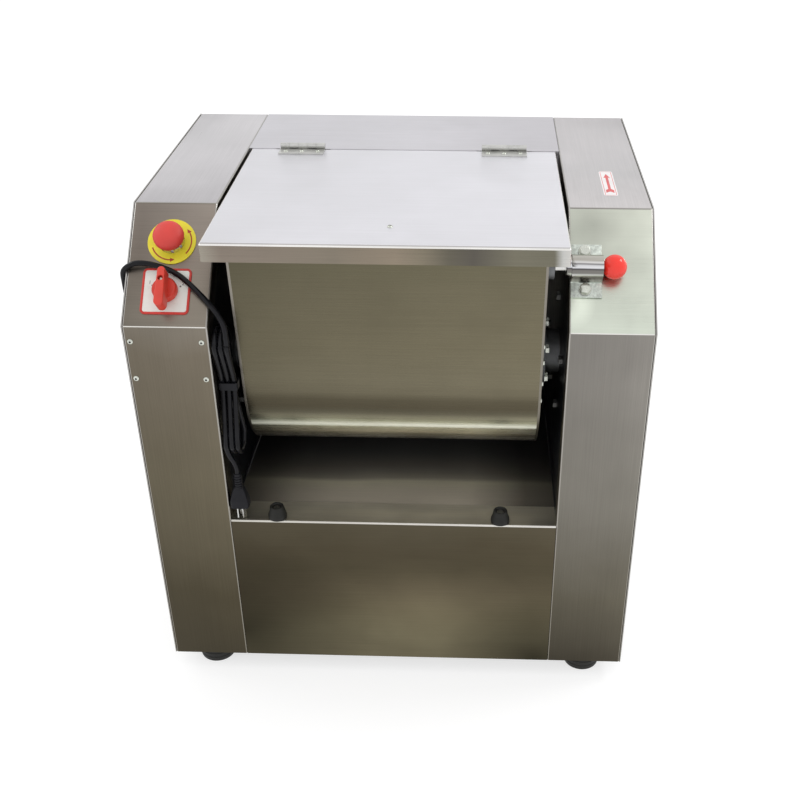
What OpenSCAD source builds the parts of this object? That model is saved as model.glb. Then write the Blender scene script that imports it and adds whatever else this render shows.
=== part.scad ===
// Horizontal dough mixer with a tipping trough between two sheet steel casings.
// X runs across the machine, the front faces -Y, and Z = 0 is the floor under the feet.

/* [Body] */
// Overall width across both casings
body_w = 650; // [640:2:680]
// Depth of the casings from front to back
body_d = 508; // [500:2:540]
// Height of the casing tops above the floor
body_h = 674; // [670:1:700]
// Width of each side casing
casing_w = 106; // [104:1:110]
// How far the sloped control face runs back
slope_run = 122; // [114:1:130]
// How far the sloped control face drops
slope_drop = 113; // [106:1:120]
// Height of the rubber feet
foot_h = 30; // [22:1:34]
// Thickness of the stainless sheet
sheet_t = 1.5; // [1.2:0.1:2]
// Thickness of the black bearing side plates
plate_t = 6; // [5:0.5:8]

/* [Trough] */
// Gap between the trough's end plates and the casings
trough_gap = 27; // [25:1:31]
// Outer radius of the round trough bottom
trough_r = 125; // [118:1:126]
// Depth of the trough axis below the casing tops
axis_drop = 221; // [218:1:226]
// Distance of the trough axis behind the front face
axis_back = 162.5; // [160:0.5:168]
// Outward lean of the front and rear walls, in degrees
wall_lean = 5.3; // [3:0.1:6]
// How far the front rim stays below the circle that clears the lid
rim_drop = 23; // [22:1:35]
// Thickness of the trough sheet
trough_t = 2; // [1.5:0.1:3]
// How far the trough tips forward, in degrees
tilt_max = 96; // [80:1:96]

/* [Lid] */
// Gap between the lid and the casings
lid_gap = 4.5; // [3:0.5:9]
// How far the lid stands out in front of the casings
lid_over = 12; // [8:1:16]
// Depth of the lid's turned-down edge
lid_edge = 22; // [18:1:24]
// Radius of the lid's front corners
lid_corner = 3; // [2:0.5:8]
// Width of each lid hinge
hinge_w = 63; // [55:1:70]
// Distance of each hinge's middle from the lid's side
hinge_in = 72.5; // [60:0.5:90]

/* [Front] */
// Height of the front panel's top edge above the floor
panel_h = 272; // [262:1:274]
// Depth of the flat ledge behind the front panel's edge
ledge_d = 45; // [38:1:60]
// Height of the rubber bumpers that the tipped trough rests on
bumper_h = 20; // [14:1:20]
// Diameter of a bumper at its foot
bumper_d = 25; // [20:1:28]

/* [Controls] */
// Diameter of the yellow ring around the stop button
ring_d = 60; // [50:1:60]
// Diameter of the red stop button
stop_d = 40; // [34:1:42]
// Side of the square switch plate
switch_w = 60; // [54:1:60]
// Length of the switch handle
handle_l = 50; // [44:1:52]

/* [Latch] */
// Diameter of the lock pin
pin_d = 12; // [10:1:14]
// Diameter of the red ball on the lock pin
ball_d = 30; // [26:1:32]
// How far the lock pin pulls out
pin_stroke = 20; // [12:1:20]

/* [Drive] */
// Module of the gear pair
gear_module = 3.5; // [3.4:0.05:3.6]
// Teeth on the large gear
bull_teeth = 68; // [66:1:70]
// Teeth on the pinion
pinion_teeth = 17; // [17:1:18]
// Diameter of the stirrer's stub shafts
shaft_d = 35; // [30:1:36]
// Diameter of the motor body
motor_d = 140; // [130:1:144]

/* [Cord] */
// Diameter of the mains cord
cord_d = 7; // [6:0.1:7]

/* [Hidden] */
$fn = 48;

// Shared clearances
// Overrun of every cut
over = 1;
// Gap between pieces that lie loosely side by side
gap = 0.3;
// Radial play of a shaft or pin in its bore
play = 0.05;
// Radial room of a shaft in a hole that does not carry it
loose = 1;
// How far a shaft stands out past its nut or pulley
shaft_out = 1;
// Facets of large circles
round_fn = 96;

// Frame of reference
half_w = body_w / 2;
in_x = half_w - casing_w;
cover_x = half_w - sheet_t;
y_back = (body_d + lid_over) / 2;
y_front = y_back - body_d;
slope_a = atan2(slope_drop, slope_run);
slope_top_y = y_front + slope_run;
slope_low_z = body_h - slope_drop;
axis_y = y_front + axis_back;
axis_h = body_h - axis_drop;
plate_in = in_x + sheet_t;
plate_out = plate_in + plate_t;

// Base frame of angle steel
angle_w = 30;
angle_t = 4;
rail_w = 40;
rail_h = 20;
frame_low = foot_h + angle_t;
frame_top = foot_h + angle_w;
frame_y0 = y_front + sheet_t;
frame_y1 = y_back - sheet_t;
gusset_w = 76;

// Feet
foot_top_d = 60;
foot_low_d = 50;
foot_in_x = 53;
foot_in_y = 37.5;
foot_x = half_w - foot_in_x;
foot_ys = [y_front + foot_in_y, y_back - foot_in_y];
foot_recess_d = 24;
foot_recess_h = 12;
foot_bolt_d = 10;
foot_nut_d = 18;
foot_nut_h = 8;
foot_head_h = 6;
foot_bolt_up = 14;

// Casing flanges, screws and vents
return_w = 28;
cover_flange = 15;
screw_head_d = 9;
screw_d = 4;
screw_l = 8;
vent_w = 70;
vent_h = 5;
vent_pitch = 14;
vent_count = 6;
vent_in = 60;
vent_y = y_back - vent_in;
vent_z = 110;

// Trough
trough_half = in_x - trough_gap;
end_t = 3;
shell_half = trough_half - end_t;
lid_clear = 4.5;
rear_clear_r = axis_drop - sheet_t - lid_clear;
rim_rise = rear_clear_r - rim_drop;
rim_meet_y = sqrt(pow(rear_clear_r, 2) - pow(rim_rise, 2));
sleeve_d = 60;
hub_flange_d = 110;
hub_flange_t = 8;
hub_bolt_ring_r = 43;
hub_bolt_count = 6;
bolt_d = 8;
bolt_head_d = 13;
bolt_head_h = 5;
lug_d = 32;
lug_t = 8;
lug_play = 0.5;

// Bearings on the side plates
housing_d = 180;
housing_t = 12;
housing_boss_in = 38;
housing_boss_d = housing_d - 2 * housing_boss_in;
housing_l = 30;
housing_bolt_in = 15.3;
housing_bolt_r = housing_d / 2 - housing_bolt_in;
housing_bolt_a = 72;
housing_bolt_count = 4;
sleeve_l = plate_out + housing_l - trough_half - hub_flange_t - gap;

// Gears and shafts
gear_w = 25;
gear_in_gap = 5;
gear_x = plate_out + housing_l + gear_in_gap;
center_play = 0.3;
gear_center = gear_module * (bull_teeth + pinion_teeth) / 2 + center_play;
counter_a = -27;
counter_y = axis_y + gear_center * cos(counter_a);
counter_z = axis_h + gear_center * sin(counter_a);
pressure_a = 20;
addendum_share = 0.9;
dedendum_share = 1.25;
backlash = 0.3;
flank_shares = [0, 0.35, 0.7, 1];
bull_hole_d = 42;
bull_hole_r = 72;
bull_hole_count = 6;
counter_d = 25;
counter_housing_d = 68;
counter_flange_w = 104;
counter_bolt_r = 46;
counter_bolt_a = 30;
nut_t = 4;
shaft_end = gear_x + gear_w + gap + nut_t + shaft_out;
shaft_in = 42;
collar_w = 10;
collar_d = 58;

// Belt drive
pulley_gap = 6;
pulley_x = gear_x + gear_w + pulley_gap;
pulley_w = 22;
pulley_end = pulley_x + pulley_w;
driven_r = 95;
motor_pulley_r = 36;
groove_depth = 12;
groove_top_w = 12;
groove_low_w = 10.6;
belt_w = 10;
belt_t = 8;
belt_sink = 0.5;
belt_x = pulley_x + (pulley_w - belt_w) / 2;
web_t = 8;
pulley_rim_t = 8;
pulley_hub_d = 48;

// Motor
motor_y = counter_y;
base_t = 6;
motor_foot_share = 0.14;
motor_foot_low = 26.58;
motor_foot_h = motor_foot_share * axis_h + motor_foot_low;
motor_z = frame_low + rail_h + base_t + motor_foot_h;
motor_l = 170;
shield_t = 20;
motor_gap = 20.5;
motor_x1 = plate_in - motor_gap - shield_t;
motor_x0 = motor_x1 - motor_l;
motor_wall = 12;
fin_h = 4;
fin_w = 3;
fin_count = 24;
motor_shaft_d = 24;
rotor_gap = 8;
rotor_end_gap = 20;
fan_in = 12;
fan_d = motor_d - 2 * fan_in;
fan_t = 16;
fan_gap = 5;
fan_blades = 8;
fan_cover_l = 40;
fan_cover_t = 1.5;
motor_foot_w = 120;
motor_foot_t = 12;
motor_foot_in = 20;
base_w = 150;
box_w = 80;
box_h = 70;
box_d = 34;
shaft_hole_d = 44;

// Stirrer
stir_r = 95;
stir_bar_d = 18;
stir_hub_d = 62;
stir_hub_l = 34;
stir_end_gap = 3;
stir_arm_w = 26;
stir_cross_x = 22;
stir_boss = 2;

// Lid and hinges
lid_half = in_x - lid_gap;
hinge_x = lid_half - hinge_in;
lid_back = 216.5;
lid_rear_y = slope_top_y + lid_back;
lid_z = body_h - lid_edge;
leaf_t = 1.5;
rear_gap = 1.2;
fixed_y = lid_rear_y + rear_gap;
flange_y = fixed_y + leaf_t;
hinge_r = 4;
hinge_pin_r = 2;
hinge_y = fixed_y + leaf_t / 2;
hinge_up = 0.5;
hinge_z = body_h + hinge_r + hinge_up;
knuckles = 5;
knuckle_w = hinge_w / knuckles;
lid_leaf_l = 24;
leaf_back = 4.3;
fixed_leaf_h = 30;
flange_drop = 40;
leaf_screw_d = 6;
leaf_screw_h = 1.5;
leaf_screw_shank_d = 3;
leaf_screw_in = 9;
leaf_screw_back = 13;
leaf_screw_y = lid_rear_y - leaf_screw_back;
lid_screw_x = 2.5;
lid_screw_back = 49.5;
lid_screw_y = y_front + lid_screw_back;
lid_screw_d = 7;

// Front, deck and bumpers
deck_lap = 14;
deck_flat = 2;
deck_fall = 25;
bumper_ins = [62, 75];
bumper_xs = [-in_x + bumper_ins[0], in_x - bumper_ins[1]];
bumper_in = 9.5;
bumper_top_d = 20;
bumper_recess_d = 11;
bumper_recess_h = 8;
bumper_screw_d = 5;
bumper_head_d = 9;
bumper_head_h = 4;
bumper_nut_h = 5;
back_vent_w = 160;
back_vent_z = 120;
back_vent_count = 8;

// Stop button
stop_in = 53.6;
stop_x = -half_w + stop_in;
stop_s = 54;
ring_t = 1.5;
stop_hole_d = 22;
collar_stop_d = 30;
collar_stop_h = 7.5;
stop_stem_d = 12;
stop_under = 14;
stop_brim_h = 5;
stop_top = 30;
stop_travel = 4;
stop_block_w = 34;
stop_block_h = 46;
stop_stem_in = 20;

// Selector switch
switch_in = 52;
switch_x = -half_w + switch_in;
switch_s = 120;
switch_t = 2;
switch_corner = 6;
switch_hole_d = 16;
knob_d = 34;
knob_h = 12;
knob_top = 30;
handle_w = 13;
handle_tip_w = 10;
handle_up_share = 0.42;
spindle_d = 10;
switch_block_w = 44;
switch_block_h = 52;
spindle_in = 20;
knob_screw_d = 6;
knob_screw_h = 3;

// Rivets on the left casing's front
rivet_d = 7.5;
rivet_h = 1.6;
rivet_shank_d = 4;
rivet_in_x = 9;
rivet_drops = [20.5, 72];

// Lock pin and its bracket on the right slope
latch_s = 86;
latch_off = 15.5;
latch_plate_w = 38;
latch_plate_l = 70;
latch_plate_t = 3;
latch_in = 1.7;
latch_x0 = in_x + latch_in;
latch_bolt_in = 19;
latch_bolt_x = in_x + latch_bolt_in;
latch_bolt_s = 25;
guide_d = 25;
guide_out = 5;
guide_x0 = in_x - guide_out;
guide_x1 = latch_x0 + latch_plate_w;
strap_t = 2;
strap_w = 22;
latch_bolt_head_d = 14;
latch_bolt_head_h = 5.5;
latch_washer_d = 16;
latch_washer_t = 1.6;
latch_y = slope_top_y - latch_s * cos(slope_a) - latch_off * sin(slope_a);
latch_z = body_h - latch_s * sin(slope_a) + latch_off * cos(slope_a);
pin_nose_gap = 1.2;
ball_flat = 1;
ball_x = guide_x1 + ball_d / 2 - ball_flat;
guide_wall = 4;
chamber_d = 19;
pin_collar_d = 18;
pin_collar_w = 3;
spring_l = 12;
chamber_x0 = guide_x0 + guide_wall;
chamber_x1 = chamber_x0 + pin_collar_w + pin_stroke + spring_l;

// The cord's places are given from the left casing's corner below the slope
corner = [-half_w, y_front, slope_low_z];

// Cord hank
hank_at = [118.7, 24, 0];
hank_x = corner[0] + hank_at[0];
hank_y = corner[1] + hank_at[1];
hank_drops = [34, 91, 169];
hank_top_z = corner[2] - hank_drops[0];
hank_waist_z = corner[2] - hank_drops[1];
hank_low_z = corner[2] - hank_drops[2];
fold_r = 3 * cord_d;
waist_r = 4.2;
hank_pitch = 7.6;
hank_downs = 3;
fold_rings = 8;
cord_sides = 10;
hank_sides = 6;
tie_t = 1.2;
tie_h = 10;
tie_play = 0.15;
tie_corner = 3;

// Plug below the hank
plug_at = [119.5, 8, 0];
plug_x = corner[0] + plug_at[0];
plug_y = corner[1] + plug_at[1];
plug_up = 1.5;
plug_tip_z = panel_h + plug_up;
prong_l = 18;
prong_t = 1.6;
prong_w = 6.4;
prong_r = 5;
plug_low_w = 25;
plug_low_d = 20;
plug_top_w = 13;
plug_h = 30;
boot_h = 22;
boot_d = 11;
boot_top_d = 9;
boot_rib_d = 13;
boot_ribs = 5;
plug_low_z = plug_tip_z + prong_l;
boot_low_z = plug_low_z + plug_h;
boot_top_z = boot_low_z + boot_h;

// Gland on the left cover
gland_at = [-10, 118, -41];
cord_side_x = corner[0] + gland_at[0];
gland_y = corner[1] + gland_at[1];
gland_z = corner[2] + gland_at[2];
gland_nut_d = 24;
gland_nut_t = 5;
gland_d = 17;
relief_l = 46;
relief_low_d = 9.5;
relief_end_z = gland_z - relief_l;

// Route of the free cord: out of the relief, down and up the left side, over the slope
route = [[-10, 118, -87], [-10, 118, -105], [-10, 117, -123], [-10, 112, -141],
    [-10, 101, -156], [-10, 85, -162], [-10, 69, -157], [-10, 58, -143],
    [-10, 53, -124], [-10, 52, -101], [-10, 52, -71], [-10, 52, -41],
    [-10, 52, -11], [-11, 53, 14], [-10, 53, 34], [-3, 53, 50],
    [10, 53, 59], [25, 53, 60], [42, 52, 57], [57, 48, 53],
    [70, 42, 48], [82, 35, 41], [94, 27, 33], [104, 19, 25],
    [110, 12, 13], [111.1, 7, -1], [111.1, 4, -14], [111.1, 3, -27]];
// Last points of the cord between the hank and the plug
tail_route = [[124.5, 4, -188], [121.2, 6, -199]];

function unit(v) = v / norm(v);

// Outline of a casing seen from the side, drawn in by d, from height low upwards
function casing_outline(d, low) = [
    [y_front + d, low],
    [y_front + d, slope_low_z + d * tan(slope_a) - d / cos(slope_a)],
    [y_front + (slope_drop - d + d / cos(slope_a)) / tan(slope_a), body_h - d],
    [y_back - d, body_h - d],
    [y_back - d, low]];

// Places of the cover screws along the middle of the cover flange
screw_line = casing_outline(cover_flange / 2, frame_top + cover_flange);
screw_places = concat(screw_line, [for (i = [0, 2, 3]) (screw_line[i] + screw_line[i + 1]) / 2]);

// Slab along X of a shape drawn as Y across and Z up
module yz_slab(x0, x1)
    translate([x0, 0, 0]) rotate([90, 0, 90]) linear_extrude(x1 - x0) children();

// Rod along X
module x_rod(d, x0, x1, y, z)
    translate([x0, y, z]) rotate([0, 90, 0]) cylinder(d = d, h = x1 - x0);

// Block between two corners
module block(a, b)
    translate(a) cube(b - a);

// Children lie on the sloped face at width x, s down the slope, Z outwards
module on_slope(x, s)
    translate([x, slope_top_y - s * cos(slope_a), body_h - s * sin(slope_a)])
        rotate([slope_a, 0, 0]) children();

module both_sides() {
    children();
    mirror([1, 0, 0]) children();
}

// Rectangle with round corners, centred
module round_rect(w, d, r) {
    square([w, d - 2 * r], center = true);
    square([w - 2 * r, d], center = true);
    for (x = [-1, 1], y = [-1, 1])
        translate([x * (w / 2 - r), y * (d / 2 - r)]) circle(r);
}

// Base frame and feet
module base_frame() color("dimgray") difference() {
    union() {
        block([-cover_x, frame_y0, foot_h], [cover_x, frame_y0 + angle_w, frame_low]);
        block([-cover_x, frame_y0, foot_h], [cover_x, frame_y0 + angle_t, frame_top]);
        block([-cover_x, frame_y1 - angle_w, foot_h], [cover_x, frame_y1, frame_low]);
        block([-cover_x, frame_y1 - angle_t, foot_h], [cover_x, frame_y1, frame_top]);
        both_sides() {
            block([cover_x - angle_w, frame_y0, foot_h], [cover_x, frame_y1, frame_low]);
            block([cover_x - angle_t, frame_y0, foot_h], [cover_x, frame_y1, frame_top]);
            block([plate_in, frame_y0, foot_h], [plate_in + angle_w, frame_y1, frame_low]);
            block([cover_x - gusset_w - angle_w, frame_y0, foot_h],
                [cover_x, frame_y0 + gusset_w, frame_low]);
            block([cover_x - gusset_w - angle_w, frame_y1 - gusset_w, foot_h],
                [cover_x, frame_y1, frame_low]);
        }
        for (x = [motor_x0 + motor_foot_in, motor_x1 - motor_foot_in - rail_w])
            block([x, frame_y0 + angle_t, frame_low], [x + rail_w, frame_y1 - angle_t, frame_low + rail_h]);
    }
    foot_places() translate([0, 0, foot_h - over])
        cylinder(d = foot_bolt_d + 2 * gap, h = angle_t + 2 * over);
}

module foot_places()
    for (x = [-foot_x, foot_x], y = foot_ys) translate([x, y, 0]) children();

module rubber_feet() color("#1c1c1c") foot_places() difference() {
    cylinder(d1 = foot_low_d, d2 = foot_top_d, h = foot_h);
    translate([0, 0, -over]) cylinder(d = foot_bolt_d + 2 * play, h = foot_h + 2 * over);
    translate([0, 0, -over]) cylinder(d = foot_recess_d, h = foot_recess_h + over);
}

module foot_and_bumper_bolts() color("silver") {
    foot_places() {
        translate([0, 0, foot_recess_h - foot_head_h])
            cylinder(d = foot_nut_d, h = foot_head_h, $fn = 6);
        translate([0, 0, foot_recess_h - foot_head_h])
            cylinder(d = foot_bolt_d, h = frame_low + foot_bolt_up - foot_recess_h + foot_head_h);
        translate([0, 0, frame_low]) cylinder(d = foot_nut_d, h = foot_nut_h, $fn = 6);
    }
    bumper_places() {
        translate([0, 0, bumper_h - bumper_recess_h]) cylinder(d = bumper_head_d, h = bumper_head_h);
        translate([0, 0, -sheet_t - 2 * bumper_nut_h])
            cylinder(d = bumper_screw_d, h = bumper_h - bumper_recess_h + sheet_t + 2 * bumper_nut_h);
        translate([0, 0, -sheet_t - bumper_nut_h])
            cylinder(d = bumper_head_d, h = bumper_nut_h, $fn = 6);
    }
}

// Casings: a folded wrap with an inner return, an outer flange and an open bottom
module casing_wrap() difference() {
    yz_slab(in_x, cover_x) polygon(casing_outline(0, foot_h));
    yz_slab(in_x + sheet_t, cover_x - sheet_t) polygon(casing_outline(sheet_t, foot_h - over));
    yz_slab(in_x - over, in_x + sheet_t + over) polygon(casing_outline(return_w, foot_h - over));
    yz_slab(cover_x - sheet_t - over, cover_x + over)
        polygon(casing_outline(cover_flange, foot_h - over));
    block([in_x - over, frame_y0, foot_h - over], [cover_x + over, frame_y1, frame_top + gap]);
    screw_spots() cylinder(d = screw_d + 2 * play, h = screw_l + over);
}

// Each child runs inwards from the outer face of the flange
module screw_spots()
    for (p = screw_places) translate([cover_x + over, p[0], p[1]]) rotate([0, -90, 0]) children();

module left_casing() color("#b9b6ae") difference() {
    mirror([1, 0, 0]) casing_wrap();
    on_slope(stop_x, stop_s) hole_through(stop_hole_d + 2 * play);
    on_slope(switch_x, switch_s) hole_through(switch_hole_d + 2 * play);
    rivet_places() rotate([90, 0, 0]) hole_through(rivet_shank_d + 2 * play);
}

module hole_through(d)
    translate([0, 0, -sheet_t - over]) cylinder(d = d, h = sheet_t + 2 * over);

module right_casing() color("#b9b6ae") difference() {
    casing_wrap();
    latch_bolt_places() hole_through(bolt_d + 2 * play);
}

module side_cover() difference() {
    yz_slab(cover_x, half_w) polygon(casing_outline(0, foot_h));
    for (p = screw_places)
        x_rod(screw_head_d + 2 * play, cover_x - over, half_w + over, p[0], p[1]);
    for (i = [0 : vent_count - 1])
        block([cover_x - over, vent_y - vent_w, vent_z + i * vent_pitch],
            [half_w + over, vent_y, vent_z + i * vent_pitch + vent_h]);
}

module left_side_cover() color("#b9b6ae") difference() {
    mirror([1, 0, 0]) side_cover();
    x_rod(gland_d + 2 * play, -half_w - over, -cover_x + over, gland_y, gland_z);
}

module right_side_cover() color("#b9b6ae") side_cover();

module cover_screws() color("silver") both_sides() for (p = screw_places) {
    x_rod(screw_head_d, cover_x, half_w, p[0], p[1]);
    x_rod(screw_d, cover_x - screw_l, cover_x, p[0], p[1]);
}

// Side plates that carry the bearings
plate_outline = casing_outline(sheet_t + angle_t + gap, frame_low);

module housing_bolt_places(a, r, count, y, z)
    for (i = [0 : count - 1])
        translate([plate_in, y + r * cos(a + i * 360 / count), z + r * sin(a + i * 360 / count)])
            rotate([0, 90, 0]) children();

module main_bolt_places()
    housing_bolt_places(housing_bolt_a, housing_bolt_r, housing_bolt_count, axis_y, axis_h) children();

module counter_bolt_places()
    housing_bolt_places(counter_bolt_a, counter_bolt_r, housing_bolt_count, counter_y, counter_z)
        children();

module plate_bore() translate([0, 0, -over]) cylinder(d = bolt_d + 2 * play, h = plate_t + 2 * over);

module side_plate() difference() {
    yz_slab(plate_in, plate_out) polygon(plate_outline);
    x_rod(sleeve_d + 2 * loose, plate_in - over, plate_out + over, axis_y, axis_h);
    main_bolt_places() plate_bore();
}

module left_side_plate() color("#16161a") mirror([1, 0, 0]) side_plate();

module right_side_plate() color("#16161a") difference() {
    side_plate();
    x_rod(counter_d + 2 * loose, plate_in - over, plate_out + over, counter_y, counter_z);
    x_rod(shaft_hole_d, plate_in - over, plate_out + over, motor_y, motor_z);
    counter_bolt_places() plate_bore();
}

module plate_bolt(l) {
    translate([0, 0, -bolt_head_h]) cylinder(d = bolt_head_d, h = bolt_head_h, $fn = 6);
    cylinder(d = bolt_d, h = l);
}

module side_plate_bolts() color("silver") {
    both_sides() main_bolt_places() plate_bolt(plate_t + housing_t);
    counter_bolt_places() plate_bolt(plate_t + housing_t);
}

module bearing_housings() color("slategray") both_sides() difference() {
    union() {
        x_rod(housing_d, plate_out, plate_out + housing_t, axis_y, axis_h);
        x_rod(housing_boss_d, plate_out, plate_out + housing_l, axis_y, axis_h);
    }
    x_rod(sleeve_d + 2 * gap, plate_out - over, plate_out + housing_l + over, axis_y, axis_h);
    main_bolt_places() translate([0, 0, plate_t - over])
        cylinder(d = bolt_d + 2 * play, h = housing_t + 2 * over);
}

module countershaft_bearing() color("slategray") difference() {
    union() {
        translate([plate_out, counter_y, counter_z]) rotate([counter_bolt_a + 45, 0, 0])
            rotate([90, 0, 90]) linear_extrude(housing_t)
                square(counter_flange_w * cos(45) + bolt_head_d, center = true);
        x_rod(counter_housing_d, plate_out, plate_out + housing_l, counter_y, counter_z);
    }
    x_rod(counter_d + 2 * gap, plate_out - over, plate_out + housing_l + over, counter_y, counter_z);
    counter_bolt_places() translate([0, 0, plate_t - over])
        cylinder(d = bolt_d + 2 * play, h = housing_t + 2 * over);
    x_rod(housing_d + 2 * gap, plate_out - over, plate_out + housing_t + over, axis_y, axis_h);
}

// Panels between the casings
module front_panel() color("#a8a39a") difference() {
    union() {
        block([-in_x, y_front, foot_h], [in_x, y_front + sheet_t, panel_h]);
        block([-in_x, y_front, panel_h - sheet_t], [in_x, y_front + ledge_d, panel_h]);
    }
    bumper_places() hole_through(bumper_screw_d + 2 * play);
}

module deck_plate() {
    y0 = y_front + ledge_d - deck_lap;
    y1 = y_front + ledge_d + deck_flat;
    top = panel_h - sheet_t;
    color("#5a564c") yz_slab(-in_x, in_x) polygon([
        [y0, top], [y1, top], [frame_y1, top - deck_fall],
        [frame_y1, top - deck_fall - sheet_t], [y1, top - sheet_t], [y0, top - sheet_t]]);
}

module back_panel() color("#b0ada6") difference() {
    block([-in_x, frame_y1, foot_h], [in_x, y_back, body_h - sheet_t]);
    for (i = [0 : back_vent_count - 1], x = [-1, 1])
        translate([x * in_x / 2 - back_vent_w / 2, frame_y1 - over, back_vent_z + i * vent_pitch])
            cube([back_vent_w, sheet_t + 2 * over, vent_h]);
}

module rear_top_plate() color("#c4c3bf") {
    block([-in_x, flange_y, body_h - sheet_t], [in_x, y_back, body_h]);
    block([-in_x, flange_y, body_h - flange_drop], [in_x, flange_y + sheet_t, body_h]);
}

module bumper_places()
    for (x = bumper_xs) translate([x, y_front + bumper_in, panel_h]) children();

module tilt_bumpers() color("#232323") bumper_places() difference() {
    cylinder(d1 = bumper_d, d2 = bumper_top_d, h = bumper_h);
    translate([0, 0, -over]) cylinder(d = bumper_screw_d + 2 * play, h = bumper_h + 2 * over);
    translate([0, 0, bumper_h - bumper_recess_h])
        cylinder(d = bumper_recess_d, h = bumper_recess_h + over);
}

// Trough, drawn about its own axis: Y across and Z up
function wall_reach(r, z) = (r + z * sin(wall_lean)) / cos(wall_lean);

module u_outline(r, top) {
    circle(r, $fn = round_fn);
    polygon([
        [-r * cos(wall_lean), -r * sin(wall_lean)], [-wall_reach(r, top), top],
        [wall_reach(r, top), top], [r * cos(wall_lean), -r * sin(wall_lean)]]);
}

// The rear corner is cut back so that the trough can tip under the closed lid
module trough_side() intersection() {
    u_outline(trough_r, rim_rise + over);
    union() {
        circle(rear_clear_r, $fn = round_fn);
        translate([-2 * trough_r, -2 * trough_r]) square([2 * trough_r + rim_meet_y, 2 * trough_r + rim_rise]);
    }
}

module at_axis() translate([0, axis_y, axis_h]) children();

module trough_shell() color("#8c8678") at_axis() yz_slab(-shell_half, shell_half) difference() {
    trough_side();
    u_outline(trough_r - trough_t, rear_clear_r);
}

module hub_bolt_places()
    for (i = [0 : hub_bolt_count - 1])
        rotate([i * 360 / hub_bolt_count, 0, 0]) translate([0, 0, hub_bolt_ring_r])
            rotate([0, 90, 0]) children();

module trough_ends() color("#807b70") at_axis() both_sides() difference() {
    yz_slab(shell_half, trough_half) trough_side();
    x_rod(shaft_d + 2 * gap, shell_half - over, trough_half + over, 0, 0);
    hub_bolt_places() translate([0, 0, shell_half - over])
        cylinder(d = bolt_d + 2 * play, h = end_t + 2 * over);
}

module trunnions() color("gray") at_axis() both_sides() difference() {
    union() {
        x_rod(hub_flange_d, trough_half, trough_half + hub_flange_t, 0, 0);
        x_rod(sleeve_d, trough_half, trough_half + hub_flange_t + sleeve_l, 0, 0);
    }
    x_rod(shaft_d + 2 * gap, trough_half - over, trough_half + hub_flange_t + sleeve_l + over, 0, 0);
    hub_bolt_places() translate([0, 0, trough_half - over])
        cylinder(d = bolt_d + 2 * play, h = hub_flange_t + 2 * over);
}

module trunnion_bolts() color("silver") at_axis() both_sides() hub_bolt_places()
    translate([0, 0, shell_half]) {
        cylinder(d = bolt_d, h = end_t + hub_flange_t);
        translate([0, 0, end_t + hub_flange_t])
            cylinder(d = bolt_head_d, h = bolt_head_h, $fn = 6);
    }

module latch_lug() color("gray") difference() {
    x_rod(lug_d, trough_half, trough_half + lug_t, latch_y, latch_z);
    x_rod(pin_d + 2 * lug_play, trough_half - over, trough_half + lug_t + over, latch_y, latch_z);
}

// Stirrer: a Z of round bars between two hubs on stub shafts
stir_arm_x = shell_half - stir_end_gap - stir_hub_l / 2;

module round_bar(a, b) {
    d = b - a;
    l = norm(d);
    translate(a) rotate([0, acos(d[2] / l), atan2(d[1], d[0])]) cylinder(d = stir_bar_d, h = l);
    translate(b) rotate([90, 0, 0]) cylinder(d = stir_bar_d + 2 * stir_boss, h = stir_bar_d, center = true);
}

module stirrer() color("#9a9890") at_axis() {
    path = [[-stir_arm_x, 0, 0], [-stir_arm_x, 0, stir_r], [-stir_cross_x, 0, stir_r],
        [stir_cross_x, 0, -stir_r], [stir_arm_x, 0, -stir_r], [stir_arm_x, 0, 0]];
    difference() {
        union() {
            for (i = [0 : len(path) - 2]) round_bar(path[i], path[i + 1]);
            for (s = [-1, 1]) {
                x_rod(stir_hub_d, s * stir_arm_x - stir_hub_l / 2, s * stir_arm_x + stir_hub_l / 2, 0, 0);
                block([s * stir_arm_x - stir_bar_d / 2, -stir_arm_w / 2, min(0, -s * stir_r)],
                    [s * stir_arm_x + stir_bar_d / 2, stir_arm_w / 2, max(0, -s * stir_r)]);
            }
        }
        both_sides() x_rod(shaft_d + 2 * play, stir_arm_x - stir_hub_l, stir_arm_x + stir_hub_l, 0, 0);
    }
}

module drive_shaft() color("silver") at_axis() {
    x_rod(shaft_d, shell_half - shaft_in, shaft_end, 0, 0);
    x_rod(collar_d, gear_x + gear_w + gap, gear_x + gear_w + gap + nut_t, 0, 0);
}

module idler_shaft() color("silver") at_axis() mirror([1, 0, 0]) {
    x_rod(shaft_d, shell_half - shaft_in, gear_x + collar_w, 0, 0);
    x_rod(collar_d, gear_x, gear_x + collar_w, 0, 0);
}

// Involute gears
function inv(a) = tan(a) * 180 / PI - a;
function flank(n, r) = 90 / n - backlash * 90 / (PI * n * gear_module / 2) + inv(pressure_a)
    - inv(acos(min(1, n * gear_module / 2 * cos(pressure_a) / r)));
function polar(r, a) = [r * cos(a), r * sin(a)];

module gear_2d(n) {
    pitch_r = n * gear_module / 2;
    base_r = pitch_r * cos(pressure_a);
    tip_r = pitch_r + addendum_share * gear_module;
    root_r = pitch_r - dedendum_share * gear_module;
    start_r = max(base_r, root_r);
    steps = [for (k = flank_shares) start_r + k * (tip_r - start_r)];
    polygon([for (i = [0 : n - 1]) let (c = i * 360 / n) each concat(
        [polar(root_r, c - flank(n, start_r))],
        [for (r = steps) polar(r, c - flank(n, r))],
        [for (k = [len(steps) - 1 : -1 : 0]) polar(steps[k], c + flank(n, steps[k]))],
        [polar(root_r, c + flank(n, start_r))])]);
}

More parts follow.
